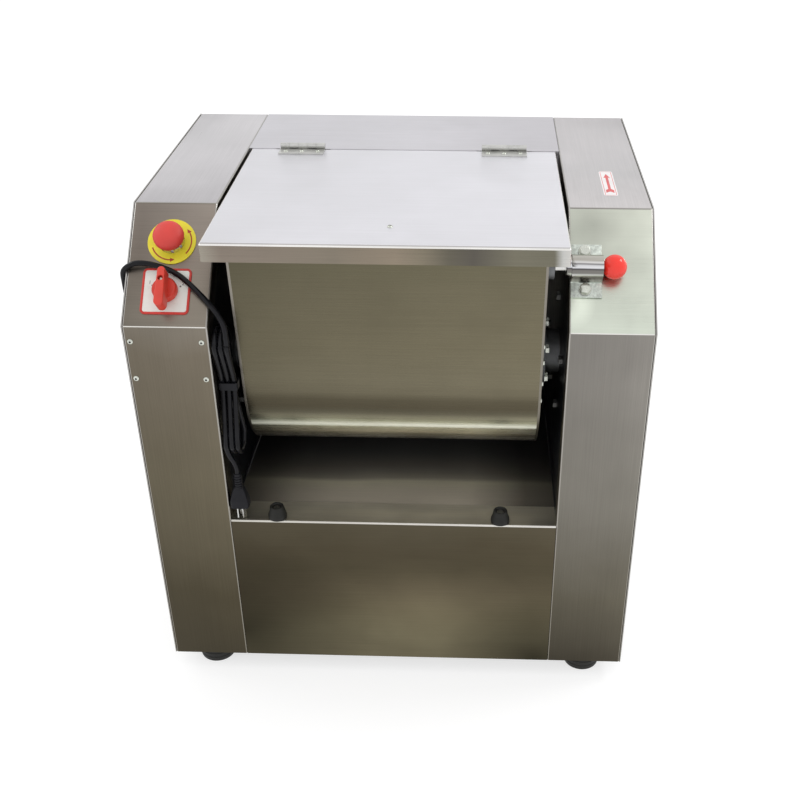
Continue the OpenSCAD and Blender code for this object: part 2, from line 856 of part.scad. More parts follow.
module bull_gear() color("darkgray") at_axis() difference() {
    yz_slab(gear_x, gear_x + gear_w) rotate(counter_a) gear_2d(bull_teeth);
    x_rod(shaft_d + 2 * play, gear_x - over, gear_x + gear_w + over, 0, 0);
    for (i = [0 : bull_hole_count - 1]) rotate([i * 360 / bull_hole_count, 0, 0])
        x_rod(bull_hole_d, gear_x - over, gear_x + gear_w + over, 0, bull_hole_r);
}

// The pinion's gap faces the large gear's tooth on the line between the two axes
module pinion_gear() color("darkgray") translate([0, counter_y, counter_z]) difference() {
    yz_slab(gear_x, gear_x + gear_w) rotate(counter_a + 180 + 180 / pinion_teeth) gear_2d(pinion_teeth);
    x_rod(counter_d + 2 * play, gear_x - over, gear_x + gear_w + over, 0, 0);
}

module countershaft() color("silver")
    x_rod(counter_d, plate_in - bolt_head_h + shaft_out, pulley_end + shaft_out, counter_y, counter_z);

// Grooved pulley along X from pulley_x
module pulley(r, bore) translate([pulley_x, 0, 0]) rotate([0, 90, 0]) difference() {
    rotate_extrude($fn = round_fn) difference() {
        translate([bore / 2, 0]) square([r - bore / 2, pulley_w]);
        translate([0, pulley_w / 2]) polygon([
            [r - groove_depth, -groove_low_w / 2], [r + over, -groove_top_w / 2],
            [r + over, groove_top_w / 2], [r - groove_depth, groove_low_w / 2]]);
        if (r > 2 * motor_pulley_r)
            for (y = [-over, pulley_w / 2 + web_t / 2])
                translate([pulley_hub_d / 2, y])
                    square([r - groove_depth - pulley_rim_t - pulley_hub_d / 2, (pulley_w - web_t) / 2 + over]);
    }
}

module driven_pulley() color("#55585c") translate([0, counter_y, counter_z])
    pulley(driven_r, counter_d + 2 * play);

module motor_pulley() color("#55585c") translate([0, motor_y, motor_z])
    pulley(motor_pulley_r, motor_shaft_d + 2 * play);

// Band round both pulleys at a given depth below their rims
module belt_loop(sink) {
    r1 = motor_pulley_r - sink;
    r2 = driven_r - sink;
    d = counter_z - motor_z;
    b = acos((r1 - r2) / d);
    circle(r1, $fn = round_fn);
    translate([0, d]) circle(r2, $fn = round_fn);
    polygon([[-r1 * sin(b), r1 * cos(b)], [-r2 * sin(b), d + r2 * cos(b)],
        [r2 * sin(b), d + r2 * cos(b)], [r1 * sin(b), r1 * cos(b)]]);
}

module drive_belt() color("#1a1a1a") translate([0, motor_y, motor_z])
    yz_slab(belt_x, belt_x + belt_w) difference() {
        belt_loop(belt_sink);
        belt_loop(belt_sink + belt_t);
    }

// Motor
module motor_housing() color("#3c5566") translate([0, motor_y, motor_z]) difference() {
    union() {
        x_rod(motor_d, motor_x0, motor_x1, 0, 0);
        for (i = [0 : fin_count - 1]) rotate([(i + 0.5) * 360 / fin_count, 0, 0])
            block([motor_x0, -fin_w / 2, motor_d / 2 - motor_wall / 2],
                [motor_x1, fin_w / 2, motor_d / 2 + fin_h]);
        for (y = [-1, 1])
            block([motor_x0 + motor_foot_in, min(0, y * motor_foot_w / 2), -motor_foot_h],
                [motor_x1 - motor_foot_in, max(0, y * motor_foot_w / 2), -motor_foot_h + motor_foot_t]);
        block([motor_x0 + motor_foot_in, -motor_foot_w / 4, -motor_foot_h],
            [motor_x1 - motor_foot_in, motor_foot_w / 4, -motor_d / 2 + motor_wall / 2]);
        block([motor_x0 + motor_l / 2 - box_w / 2, motor_d / 2 - motor_wall, -box_h / 2 + fin_h],
            [motor_x0 + motor_l / 2 + box_w / 2, motor_d / 2 + fin_h, box_h / 2 - fin_h]);
    }
    x_rod(motor_d - 2 * motor_wall, motor_x0 - over, motor_x1 + over, 0, 0);
}

module motor_end_shields() color("#34495a") translate([0, motor_y, motor_z]) difference() {
    union() {
        x_rod(motor_d, motor_x0 - shield_t, motor_x0, 0, 0);
        x_rod(motor_d, motor_x1, motor_x1 + shield_t, 0, 0);
    }
    x_rod(motor_shaft_d + 2 * play, motor_x0 - shield_t - over, motor_x1 + shield_t + over, 0, 0);
}

module motor_rotor() color("#8f8f88") translate([0, motor_y, motor_z]) {
    x_rod(motor_shaft_d, motor_x0 - shield_t - fan_gap - fan_t, pulley_end + shaft_out, 0, 0);
    x_rod(motor_d - 2 * motor_wall - 2 * rotor_gap, motor_x0 + rotor_end_gap,
        motor_x1 - rotor_end_gap, 0, 0);
}

module motor_fan() color("#30302e") translate([motor_x0 - shield_t - fan_gap - fan_t, motor_y, motor_z])
    difference() {
        union() {
            x_rod(motor_shaft_d * 2, 0, fan_t, 0, 0);
            x_rod(fan_d, fan_t - fan_cover_t, fan_t, 0, 0);
            for (i = [0 : fan_blades - 1]) rotate([i * 360 / fan_blades, 0, 0])
                block([fan_cover_t, -fan_cover_t, motor_shaft_d / 2 + fan_cover_t],
                    [fan_t - fan_cover_t / 2, fan_cover_t, fan_d / 2 - fan_cover_t]);
        }
        x_rod(motor_shaft_d + 2 * play, -over, fan_t + over, 0, 0);
    }

module motor_fan_cover() color("#2c3a46") translate([motor_x0 - fan_cover_l, motor_y, motor_z])
    difference() {
        x_rod(motor_d + 2 * fan_cover_t, -shield_t, fan_cover_l, 0, 0);
        x_rod(motor_d + 2 * play, fan_cover_t - shield_t, fan_cover_l + over, 0, 0);
        for (i = [0 : fan_blades - 1], r = [motor_d / 4, motor_d / 3])
            rotate([i * 360 / fan_blades, 0, 0])
                x_rod(vent_h, -shield_t - over, fan_cover_t, 0, r);
    }

module motor_base() color("dimgray")
    block([motor_x0, motor_y - base_w / 2, frame_low + rail_h],
        [motor_x1, motor_y + base_w / 2, frame_low + rail_h + base_t]);

module terminal_box() color("#2b2b2b")
    translate([motor_x0 + motor_l / 2 - box_w / 2, motor_y + motor_d / 2 + fin_h, motor_z - box_h / 2])
        cube([box_w, box_d, box_h]);

// Lid and its hinges
module lid_outline(d) {
    w = lid_half;
    y0 = y_front - lid_over;
    translate([-w + d, y0 + lid_corner]) square([2 * (w - d), lid_rear_y - y0 - lid_corner - d]);
    translate([-w + lid_corner, y0 + d]) square([2 * (w - lid_corner), lid_corner]);
    for (x = [-1, 1]) translate([x * (w - lid_corner), y0 + lid_corner]) circle(lid_corner - d);
}

module lid_panel() color("#d9d7dc") difference() {
    translate([0, 0, lid_z]) linear_extrude(lid_edge) lid_outline(0);
    translate([0, 0, lid_z - over]) linear_extrude(lid_edge - sheet_t + over) lid_outline(sheet_t);
    leaf_screw_places() hole_through(leaf_screw_shank_d + 2 * play);
    translate([lid_screw_x, lid_screw_y, body_h]) hole_through(leaf_screw_shank_d + 2 * play);
}

module leaf_screw_places()
    for (h = [-hinge_x, hinge_x], i = [-1 : 1])
        translate([h + i * (hinge_w / 2 - leaf_screw_in), leaf_screw_y, body_h]) children();

// Knuckle k of a hinge centred at x
module knuckle(x, k) x_rod(2 * hinge_r, x - hinge_w / 2 + k * knuckle_w + gap / 2,
    x - hinge_w / 2 + (k + 1) * knuckle_w - gap / 2, hinge_y, hinge_z);

module knuckle_tab(x, k, y0, y1, z0, z1)
    block([x - hinge_w / 2 + k * knuckle_w + gap / 2, y0, z0],
        [x - hinge_w / 2 + (k + 1) * knuckle_w - gap / 2, y1, z1]);

module pin_bore(x)
    x_rod(2 * hinge_pin_r, x - hinge_w / 2 - over, x + hinge_w / 2 + over, hinge_y, hinge_z);

module hinge_lid_leaves() color("#cfcfcd") for (x = [-hinge_x, hinge_x]) difference() {
    union() {
        block([x - hinge_w / 2, lid_rear_y - lid_leaf_l, body_h],
            [x + hinge_w / 2, hinge_y - leaf_back, body_h + leaf_t]);
        for (k = [0 : 2 : knuckles - 1]) {
            knuckle(x, k);
            knuckle_tab(x, k, hinge_y - leaf_back - over, hinge_y, body_h, body_h + leaf_t);
        }
    }
    pin_bore(x);
    leaf_screw_places() translate([0, 0, -over])
        cylinder(d = leaf_screw_shank_d + 2 * play, h = leaf_t + 2 * over);
}

module hinge_fixed_leaves() color("#cfcfcd") for (x = [-hinge_x, hinge_x]) {
    difference() {
        union() {
            block([x - hinge_w / 2, fixed_y, body_h - fixed_leaf_h], [x + hinge_w / 2, flange_y, body_h - gap]);
            for (k = [1 : 2 : knuckles - 1]) {
                knuckle(x, k);
                knuckle_tab(x, k, fixed_y, flange_y, body_h - fixed_leaf_h, hinge_z);
            }
        }
        pin_bore(x);
    }
    x_rod(2 * (hinge_pin_r - play), x - hinge_w / 2, x + hinge_w / 2, hinge_y, hinge_z);
}

module lid_screws() color("silver") {
    leaf_screw_places() {
        translate([0, 0, leaf_t]) cylinder(d = leaf_screw_d, h = leaf_screw_h);
        translate([0, 0, -sheet_t]) cylinder(d = leaf_screw_shank_d, h = sheet_t + leaf_t);
    }
    translate([lid_screw_x, lid_screw_y, body_h]) {
        cylinder(d = lid_screw_d, h = leaf_screw_h);
        translate([0, 0, -2 * sheet_t]) cylinder(d = leaf_screw_shank_d, h = 2 * sheet_t);
    }
}

// Stop button
module stop_ring() color("#f5e02a") on_slope(stop_x, stop_s) difference() {
    cylinder(d = ring_d, h = ring_t);
    translate([0, 0, -over]) cylinder(d = stop_hole_d + 2 * play, h = ring_t + 2 * over);
}

module stop_body() color("#8a8f94") on_slope(stop_x, stop_s) difference() {
    union() {
        translate([0, 0, ring_t]) cylinder(d = collar_stop_d, h = collar_stop_h);
        translate([0, 0, -sheet_t - over]) cylinder(d = stop_hole_d, h = sheet_t + ring_t + 2 * over);
        translate([0, 0, -sheet_t - stop_block_h / 2])
            cube([stop_block_w, stop_block_w, stop_block_h], center = true);
    }
    translate([0, 0, -stop_stem_in - stop_travel - over])
        cylinder(d = stop_stem_d + 2 * gap, h = stop_stem_in + stop_travel + ring_t + collar_stop_h + 2 * over);
}

module stop_stem() color("silver") on_slope(stop_x, stop_s) translate([0, 0, -stop_stem_in])
    cylinder(d = stop_stem_d, h = stop_stem_in + stop_top - stop_brim_h - gap);

module stop_head() color("#e01b1b") on_slope(stop_x, stop_s) difference() {
    rotate_extrude() intersection() {
        square([stop_d / 2, stop_top]);
        union() {
            translate([0, stop_under]) square([stop_d / 2, stop_brim_h]);
            translate([0, stop_under + stop_brim_h]) button_dome();
        }
    }
    translate([0, 0, stop_under - over])
        cylinder(d = stop_stem_d + 2 * play, h = stop_top - stop_brim_h - stop_under + over);
}

// Half of the button's dome: an arc from the top down to the brim
module button_dome() {
    rise = stop_top - stop_under - stop_brim_h;
    r = stop_d / 2;
    arc_r = (pow(r, 2) + pow(rise, 2)) / (2 * rise);
    intersection() {
        translate([0, rise - arc_r]) circle(arc_r, $fn = round_fn);
        square([r, rise]);
    }
}

// Selector switch
module switch_plate() color("#c22a26") on_slope(switch_x, switch_s) difference() {
    linear_extrude(switch_t) round_rect(switch_w, switch_w, switch_corner);
    translate([0, 0, -over]) cylinder(d = switch_hole_d + 2 * play, h = switch_t + 2 * over);
}

module switch_body() color("#33363a") on_slope(switch_x, switch_s) difference() {
    union() {
        translate([0, 0, -sheet_t - over]) cylinder(d = switch_hole_d, h = sheet_t + switch_t + over);
        translate([0, 0, -sheet_t - switch_block_h / 2])
            cube([switch_block_w, switch_block_w, switch_block_h], center = true);
    }
    translate([0, 0, -spindle_in - over])
        cylinder(d = spindle_d + 2 * gap, h = spindle_in + switch_t + 2 * over);
}

module handle_2d() {
    up = handle_l * handle_up_share - handle_tip_w / 2;
    down = handle_l * (1 - handle_up_share) - handle_w / 2;
    polygon([[-handle_w / 2, -down], [handle_w / 2, -down], [handle_w / 2, 0],
        [handle_tip_w / 2, up], [-handle_tip_w / 2, up], [-handle_w / 2, 0]]);
    translate([0, -down]) circle(d = handle_w);
    translate([0, up]) circle(d = handle_tip_w);
}

module switch_knob() on_slope(switch_x, switch_s) {
    color("#d8241f") difference() {
        union() {
            translate([0, 0, switch_t + gap]) cylinder(d = knob_d, h = knob_h - switch_t - gap);
            translate([0, 0, knob_h]) linear_extrude(knob_top - knob_h) handle_2d();
            translate([0, 0, -spindle_in]) cylinder(d = spindle_d, h = spindle_in + knob_h);
        }
        translate([0, 0, knob_top - 2 * knob_screw_h])
            cylinder(d = knob_screw_d + 2 * play, h = 2 * knob_screw_h + over);
    }
    color("silver") translate([0, 0, knob_top - 2 * knob_screw_h])
        cylinder(d = knob_screw_d, h = knob_screw_h);
}

module rivet_places()
    for (x = [-half_w + rivet_in_x, -in_x - rivet_in_x], d = rivet_drops)
        translate([x, y_front, slope_low_z - d]) children();

module casing_rivets() color("silver") rivet_places() rotate([90, 0, 0]) {
    cylinder(d = rivet_d, h = rivet_h);
    translate([0, 0, -2 * sheet_t]) cylinder(d = rivet_shank_d, h = 2 * sheet_t);
}

// Lock pin
module latch_bolt_places()
    for (s = [-1, 1]) on_slope(latch_bolt_x, latch_s + s * latch_bolt_s) children();

module latch_bracket() color("#9fa3a0") difference() {
    union() {
        on_slope(latch_x0 + latch_plate_w / 2, latch_s)
            translate([-latch_plate_w / 2, -latch_plate_l / 2, 0])
                cube([latch_plate_w, latch_plate_l, latch_plate_t]);
        x_rod(guide_d, guide_x0, guide_x1, latch_y, latch_z);
        x_rod(guide_d + 2 * strap_t, latch_x0 + (latch_plate_w - strap_w) / 2,
            latch_x0 + (latch_plate_w + strap_w) / 2, latch_y, latch_z);
    }
    x_rod(pin_d + 2 * gap, guide_x0 - over, guide_x1 + over, latch_y, latch_z);
    x_rod(chamber_d, chamber_x0, chamber_x1, latch_y, latch_z);
    latch_bolt_places() translate([0, 0, -over])
        cylinder(d = bolt_d + 2 * play, h = latch_plate_t + 2 * over);
    on_slope(latch_x0 + latch_plate_w / 2, latch_s)
        translate([-latch_plate_w, -latch_plate_l, -latch_plate_l])
            cube([2 * latch_plate_w, 2 * latch_plate_l, latch_plate_l]);
}

module latch_bolts() color("silver") latch_bolt_places() {
    translate([0, 0, latch_plate_t]) cylinder(d = latch_washer_d, h = latch_washer_t);
    translate([0, 0, latch_plate_t + latch_washer_t])
        cylinder(d = latch_bolt_head_d, h = latch_bolt_head_h, $fn = 6);
    translate([0, 0, -sheet_t - 2 * bolt_d])
        cylinder(d = bolt_d, h = latch_plate_t + sheet_t + 2 * bolt_d + latch_washer_t);
    translate([0, 0, -sheet_t - latch_bolt_head_h - latch_washer_t])
        cylinder(d = bolt_head_d, h = latch_bolt_head_h + latch_washer_t, $fn = 6);
}

// The pin's collar pushes on the spring in the guide's hollow
module lock_pin() color("silver") {
    x_rod(pin_d, trough_half + lug_t + pin_nose_gap, ball_x, latch_y, latch_z);
    x_rod(pin_collar_d, chamber_x0 + gap, chamber_x0 + gap + pin_collar_w, latch_y, latch_z);
}

module lock_ball() color("#d61f1f") translate([ball_x, latch_y, latch_z]) rotate([0, 90, 0])
    rotate_extrude() difference() {
        intersection() {
            circle(d = ball_d, $fn = round_fn);
            translate([0, guide_x1 + gap - ball_x]) square(ball_d);
        }
        translate([0, -ball_d]) square([pin_d / 2 + play, ball_d]);
    }

// Cord
// Points of a smooth curve through hand-chosen points, m steps to each span
function span_point(p0, p1, p2, p3, t) = 0.5 * (2 * p1 + (p2 - p0) * t
    + (2 * p0 - 5 * p1 + 4 * p2 - p3) * t * t + (3 * p1 - p0 - 3 * p2 + p3) * t * t * t);
function smooth(p, m) = let (n = len(p)) concat(
    [for (i = [0 : n - 2], j = [0 : m - 1]) span_point(p[max(0, i - 1)], p[i], p[i + 1],
        p[min(n - 1, i + 2)], j / m)], [p[n - 1]]);

// Rings of a tube along points p, carried on without twist
function tangent(p, i) = unit(p[min(len(p) - 1, i + 1)] - p[max(0, i - 1)]);
function carried(v, t) = unit(v - (v * t) * t);
function sides_of(p, v0) = [for (i = 0, v = carried(v0, tangent(p, 0)); i < len(p);
    i = i + 1, v = i < len(p) ? carried(v, tangent(p, i)) : v) v];

module tube(p, d, n, v0) {
    v = sides_of(p, v0);
    rings = [for (i = [0 : len(p) - 1]) let (t = tangent(p, i), w = cross(t, v[i]))
        each [for (k = [0 : n - 1]) p[i] + d / 2 * (cos(k * 360 / n) * v[i] + sin(k * 360 / n) * w)]];
    last = (len(p) - 1) * n;
    faces = concat(
        [for (i = [0 : len(p) - 2], k = [0 : n - 1]) let (a = i * n + k, b = i * n + (k + 1) % n)
            each [[a, a + n, b], [b, a + n, b + n]]],
        [for (k = [1 : n - 2]) [0, k, k + 1]],
        [for (k = [1 : n - 2]) [last, last + k + 1, last + k]]);
    polyhedron(rings, faces);
}

// Hank: runs go down in front and up behind, and climb one pitch on each way up.
// Each station holds its height, its distance from the hank's middle and its share of the climb.
stations = [[hank_top_z, fold_r, 1], [hank_waist_z + tie_h, waist_r, 0.6],
    [hank_waist_z - tie_h, waist_r, 0.4],
    [(hank_waist_z - tie_h + hank_low_z) / 2, (waist_r + fold_r) / 2, 0.2], [hank_low_z, fold_r, 0]];
function layer_x(i) = hank_x + (i - 1) * hank_pitch;
function down_run(i) = [for (k = [0 : len(stations) - 2]) let (s = stations[k])
    [layer_x(i), hank_y - s[1], s[0]]];
function up_run(i) = [for (k = [len(stations) - 1 : -1 : 1]) let (s = stations[k])
    [layer_x(i) + hank_pitch * s[2], hank_y + s[1], s[0]]];
function fold(x, z, side) = [for (k = [0 : fold_rings - 1]) let (a = 180 * k / fold_rings)
    [x, hank_y + side * fold_r * cos(a), z + side * fold_r * sin(a)]];
last_x = layer_x(hank_downs - 1);
tail = [[last_x, hank_y - fold_r, hank_low_z], [last_x, hank_y - fold_r, hank_low_z - cord_d],
    for (t = tail_route) corner + t, [plug_x, plug_y, boot_top_z + cord_d],
    [plug_x, plug_y, boot_top_z]];
hank_path = concat([[layer_x(0), hank_y - fold_r, hank_top_z + cord_d]],
    [for (i = [0 : hank_downs - 2]) each concat(down_run(i), fold(layer_x(i), hank_low_z, -1),
        up_run(i), fold(layer_x(i + 1), hank_top_z, 1))],
    down_run(hank_downs - 1), tail);

// Least gap of the hank to itself, measured on points no further apart than the step
near_step = 3;
near_skip = 10;
fine = [for (i = [0 : len(hank_path) - 2]) let (a = hank_path[i], b = hank_path[i + 1],
    m = ceil(norm(b - a) / near_step)) for (k = [0 : m - 1]) a + (b - a) * k / m];
echo(hank_least_gap = min([for (i = [0 : len(fine) - 1], j = [i + near_skip : 1 : len(fine) - 1])
    norm(fine[i] - fine[j])]) - cord_d);

module power_cord() color("#15151a") tube([for (t = smooth(route, 2)) corner + t], cord_d, cord_sides, [1, 0, 0.01]);

module cord_hank() color("#15151a") tube(hank_path, cord_d, hank_sides, [1, 0, 0]);

module cord_tie() color("#2a2a2e") translate([hank_x, hank_y, hank_waist_z - tie_h / 2])
    linear_extrude(tie_h) difference() {
        w = (hank_downs - 1) * hank_pitch + cord_d + 2 * tie_play;
        d = 2 * waist_r + cord_d + 2 * tie_play;
        round_rect(w + 2 * tie_t, d + 2 * tie_t, tie_corner + tie_t);
        round_rect(w, d, tie_corner);
    }

module cord_gland() color("#1d1d20") {
    translate([0, gland_y, gland_z]) {
        x_rod(gland_d, -half_w - gland_nut_t, -cover_x + over, 0, 0);
        translate([-half_w - gland_nut_t, 0, 0]) rotate([0, 90, 0])
            cylinder(d = gland_nut_d, h = gland_nut_t, $fn = 6);
        x_rod(gland_d, cord_side_x, -half_w - gland_nut_t, 0, 0);
        translate([cord_side_x, 0, 0]) sphere(d = gland_d);
    }
    translate([cord_side_x, gland_y, relief_end_z])
        cylinder(d1 = relief_low_d, d2 = gland_d, h = relief_l);
}

// Plug with three flat prongs and a ribbed sleeve
module plug_body() {
    color("#1b1b1f") translate([plug_x, plug_y, 0]) {
        hull() {
            translate([0, 0, plug_low_z]) linear_extrude(plug_h / 3)
                round_rect(plug_low_w, plug_low_d, tie_corner, $fn = 24);
            translate([0, 0, boot_low_z - over]) cylinder(d = plug_top_w, h = over, $fn = 24);
        }
        translate([0, 0, boot_low_z]) cylinder(d1 = boot_d, d2 = boot_top_d, h = boot_h);
        for (i = [0 : boot_ribs - 1])
            translate([0, 0, boot_low_z + (i + 0.5) * boot_h / (boot_ribs + 1)])
                cylinder(d = boot_rib_d, h = boot_h / (3 * boot_ribs));
    }
    color("silver") translate([plug_x, plug_y, plug_tip_z]) for (i = [0 : 2])
        rotate([0, 0, 90 + i * 120]) translate([prong_r, -prong_w / 2, 0])
            cube([prong_t, prong_w, prong_l]);
}

base_frame();
rubber_feet();
foot_and_bumper_bolts();
left_casing();
right_casing();
left_side_cover();
right_side_cover();
cover_screws();
left_side_plate();
right_side_plate();
side_plate_bolts();
front_panel();
deck_plate();
back_panel();
rear_top_plate();
tilt_bumpers();
bearing_housings();
countershaft_bearing();
drive_belt();
motor_housing();
motor_end_shields();
motor_fan_cover();
motor_base();
terminal_box();
hinge_fixed_leaves();
stop_ring();
stop_body();
switch_plate();
switch_body();
casing_rivets();
latch_bracket();
latch_bolts();
trough_shell();
trough_ends();
trunnions();
trunnion_bolts();
latch_lug();
stirrer();
drive_shaft();
idler_shaft();
bull_gear();
countershaft();
pinion_gear();
driven_pulley();
motor_rotor();
motor_fan();
motor_pulley();
lid_panel();
hinge_lid_leaves();
lid_screws();
lock_pin();
lock_ball();
stop_stem();
stop_head();
switch_knob();
cord_gland();
power_cord();
cord_hank();
cord_tie();
plug_body();
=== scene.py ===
# %% [markdown]
# # A dough mixer, dressed over its measured frame
# The machine stands between two folded sheet steel casings. A tub tips out at the front, a lid
# closes it, and the drive sits behind and beside it. The measured solids are already in place, so
# this lesson gives them their looks: it loads them and then makes the fine pieces on top of them.

# %% Load the measured frame
import math

import bmesh
import bpy
from mathutils import Matrix, Vector


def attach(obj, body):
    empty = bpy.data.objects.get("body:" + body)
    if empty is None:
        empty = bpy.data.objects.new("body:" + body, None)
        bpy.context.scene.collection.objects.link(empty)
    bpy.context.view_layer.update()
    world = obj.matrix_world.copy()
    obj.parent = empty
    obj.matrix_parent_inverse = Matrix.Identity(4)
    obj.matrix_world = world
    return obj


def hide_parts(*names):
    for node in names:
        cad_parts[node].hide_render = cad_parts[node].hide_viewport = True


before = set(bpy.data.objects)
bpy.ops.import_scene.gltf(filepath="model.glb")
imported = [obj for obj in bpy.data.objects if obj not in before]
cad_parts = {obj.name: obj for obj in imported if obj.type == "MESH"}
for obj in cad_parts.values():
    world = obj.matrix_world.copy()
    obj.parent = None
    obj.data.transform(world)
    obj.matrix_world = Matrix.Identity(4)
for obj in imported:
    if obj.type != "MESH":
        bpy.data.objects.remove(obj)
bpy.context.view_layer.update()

MM = 0.001

# %% [markdown]
# The photograph looks down on the machine from just above its lid. The camera is set first, so
# that every later piece can be judged from it. Its place, turn and lens were worked out from the
# corners of the casings, and a small shift puts the object where the picture has it.

# %% Place the camera
camera_data = bpy.data.cameras.new("photo_camera")
camera = bpy.data.objects.new("photo_camera", camera_data)
bpy.context.scene.collection.objects.link(camera)
look_down, look_aside, lean = 32.16, 1.77, 0.09
turn = (Matrix.Rotation(math.radians(look_aside), 3, "Z")
        @ Matrix.Rotation(math.radians(90 - look_down), 3, "X")
        @ Matrix.Rotation(math.radians(lean), 3, "Z"))
camera.location = (0.1073, -1.4478, 1.1681)
camera.rotation_euler = turn.to_euler()
camera_data.sensor_width = 36
camera_data.lens = 50.01
camera_data.shift_x = -0.0566
camera_data.shift_y = 0.0441
bpy.context.scene.camera = camera
bpy.context.scene.view_settings.view_transform = "Standard"
print("Camera at", tuple(camera.location))

# %% [markdown]
# The mains cord leaves a strain relief on the left side, drops, climbs over the sloped control
# face and hangs in front of the casing as a tied hank, with its plug below. A cord is a fixed
# length of something flexible, so it is drawn as one smooth curve through given points.
# They follow the measured cord, only rising a little nearer the wall. Distances are in millimetres
# from the corner where the left casing's slope begins.

# %% Points of the mains cord
corner = Vector((-325, -248, 561))
free_run = [(-10, 118, -87), (-10, 118, -105), (-10, 117, -123), (-10, 112, -141),
            (-10, 101, -156), (-10, 85, -162), (-9.6, 69, -157), (-9, 58, -143),
            (-8.4, 53, -124), (-7.6, 52, -101), (-6.6, 53, -71), (-5.7, 55, -41),
            (-5, 56, -11), (-4.8, 56, 14), (-5, 55, 34), (-3, 53, 50),
            (10, 53, 59), (25, 53, 60), (42, 52, 57), (57, 48, 53),
            (70, 42, 48), (82, 35, 41), (94, 27, 33), (106, 19, 24),
            (117, 12, 13), (124.5, 7, -1), (126.3, 4, -14), (126.3, 3, -27)]
cord_points = [corner + Vector(point) for point in free_run]

# %% [markdown]
# The hank goes down in front and up behind twice, one step further left each time, and then down
# once more to the plug. Each station on the way holds a height, a distance from the hank's middle,
# and its share of the sideways step to the next loop. Round parts of any outline come from one
# helper, arc.

# %% Points of the hank and of the tail to the plug
cord_wide = 7
hank_x, hank_y, hank_step = corner.x + 118.7, corner.y + 24, 7.6
hank_top, hank_waist, hank_low = corner.z - 34, corner.z - 91, corner.z - 169
fold_reach, waist_reach, tie_high = 3 * cord_wide, 4.2, 10
stations = [(hank_top, fold_reach, 1), (hank_waist + tie_high, waist_reach, 0.6),
            (hank_waist - tie_high, waist_reach, 0.4),
            ((hank_waist - tie_high + hank_low) / 2, (waist_reach + fold_reach) / 2, 0.2),
            (hank_low, fold_reach, 0)]


def polar(radius, degrees):
    return radius * math.cos(math.radians(degrees)), radius * math.sin(math.radians(degrees))


def arc(radius, start, end, steps, x=0, y=0):
    """Points on an arc round (x, y), with both ends."""
    points = [polar(radius, start + (end - start) * step / steps) for step in range(steps + 1)]
    return [(x + a, y + b) for a, b in points]


def layer_x(layer):
    return hank_x - (layer - 1) * hank_step


def run_down(layer):
    return [Vector((layer_x(layer), hank_y - out, z)) for z, out, share in stations[:-1]]


def run_up(layer):
    return [Vector((layer_x(layer) - hank_step * share, hank_y + out, z))
            for z, out, share in stations[:0:-1]]


def fold(x, z, side):
    return [Vector((x, *point)) for point in arc(side * fold_reach, 0, 180, 8, hank_y, z)[:-1]]


for layer in (0, 1):
    cord_points += run_down(layer) + fold(layer_x(layer), hank_low, -1)
    cord_points += run_up(layer) + fold(layer_x(layer + 1), hank_top, 1)
plug_x, plug_y, boot_top = corner.x + 119.5, corner.y + 8, 343.5
tail_x, tail_y = layer_x(2), hank_y - fold_reach
cord_points += run_down(2)
cord_points += [Vector((tail_x, tail_y, hank_low)), Vector((tail_x, tail_y, hank_low - cord_wide)),
                corner + Vector((113.3, 4, -188)), corner + Vector((117.4, 6, -199)),
                Vector((plug_x, plug_y, boot_top + cord_wide)),
                Vector((plug_x, plug_y, boot_top))]
print("Hand-chosen cord points:", len(cord_points))

# %% [markdown]
# A curve through so few points would show corners, so each span gets a few more points on a
# smooth line through them.

# %% Make the cord


def smooth_line(points, steps):
    """A smooth line through the points, with so many steps from one to the next."""
    line = []
    for i in range(len(points) - 1):
        p0, p1 = points[max(0, i - 1)], points[i]
        p2, p3 = points[i + 1], points[min(len(points) - 1, i + 2)]
        for step in range(steps):
            t = step / steps
            line.append(0.5 * (2 * p1 + (p2 - p0) * t + (2 * p0 - 5 * p1 + 4 * p2 - p3) * t * t
                               + (3 * p1 - p0 - 3 * p2 + p3) * t * t * t))
    return line + [points[-1]]


cord_line = smooth_line(cord_points, 4)
cord_curve = bpy.data.curves.new("mains_cord", "CURVE")
cord_curve.dimensions = "3D"
cord_curve.bevel_depth = cord_wide / 2 * MM
cord_curve.bevel_resolution = 5
cord_curve.use_fill_caps = True
spline = cord_curve.splines.new("POLY")
spline.points.add(len(cord_line) - 1)
for knot, point in zip(spline.points, cord_line):
    knot.co = (*(point * MM), 1)
spline.use_smooth = True
mains_cord = bpy.data.objects.new("mains_cord", cord_curve)
bpy.context.scene.collection.objects.link(mains_cord)
cord_length = sum((b - a).length for a, b in zip(cord_line, cord_line[1:])) * MM
print("Cord length in metres:", round(cord_length, 3))

# %% [markdown]
# Next come two small habits that every piece uses. An operator acts on all that is selected, so
# everything is let go first. Edit mode is opened with a helper that picks faces or edges by a test
# on their place in millimetres, the way a hand would click on them.

# %% Helpers for selecting


def let_go(piece=None):
    bpy.ops.object.select_all(action="DESELECT")
    if piece is not None:
        piece.select_set(True)
        bpy.context.view_layer.objects.active = piece


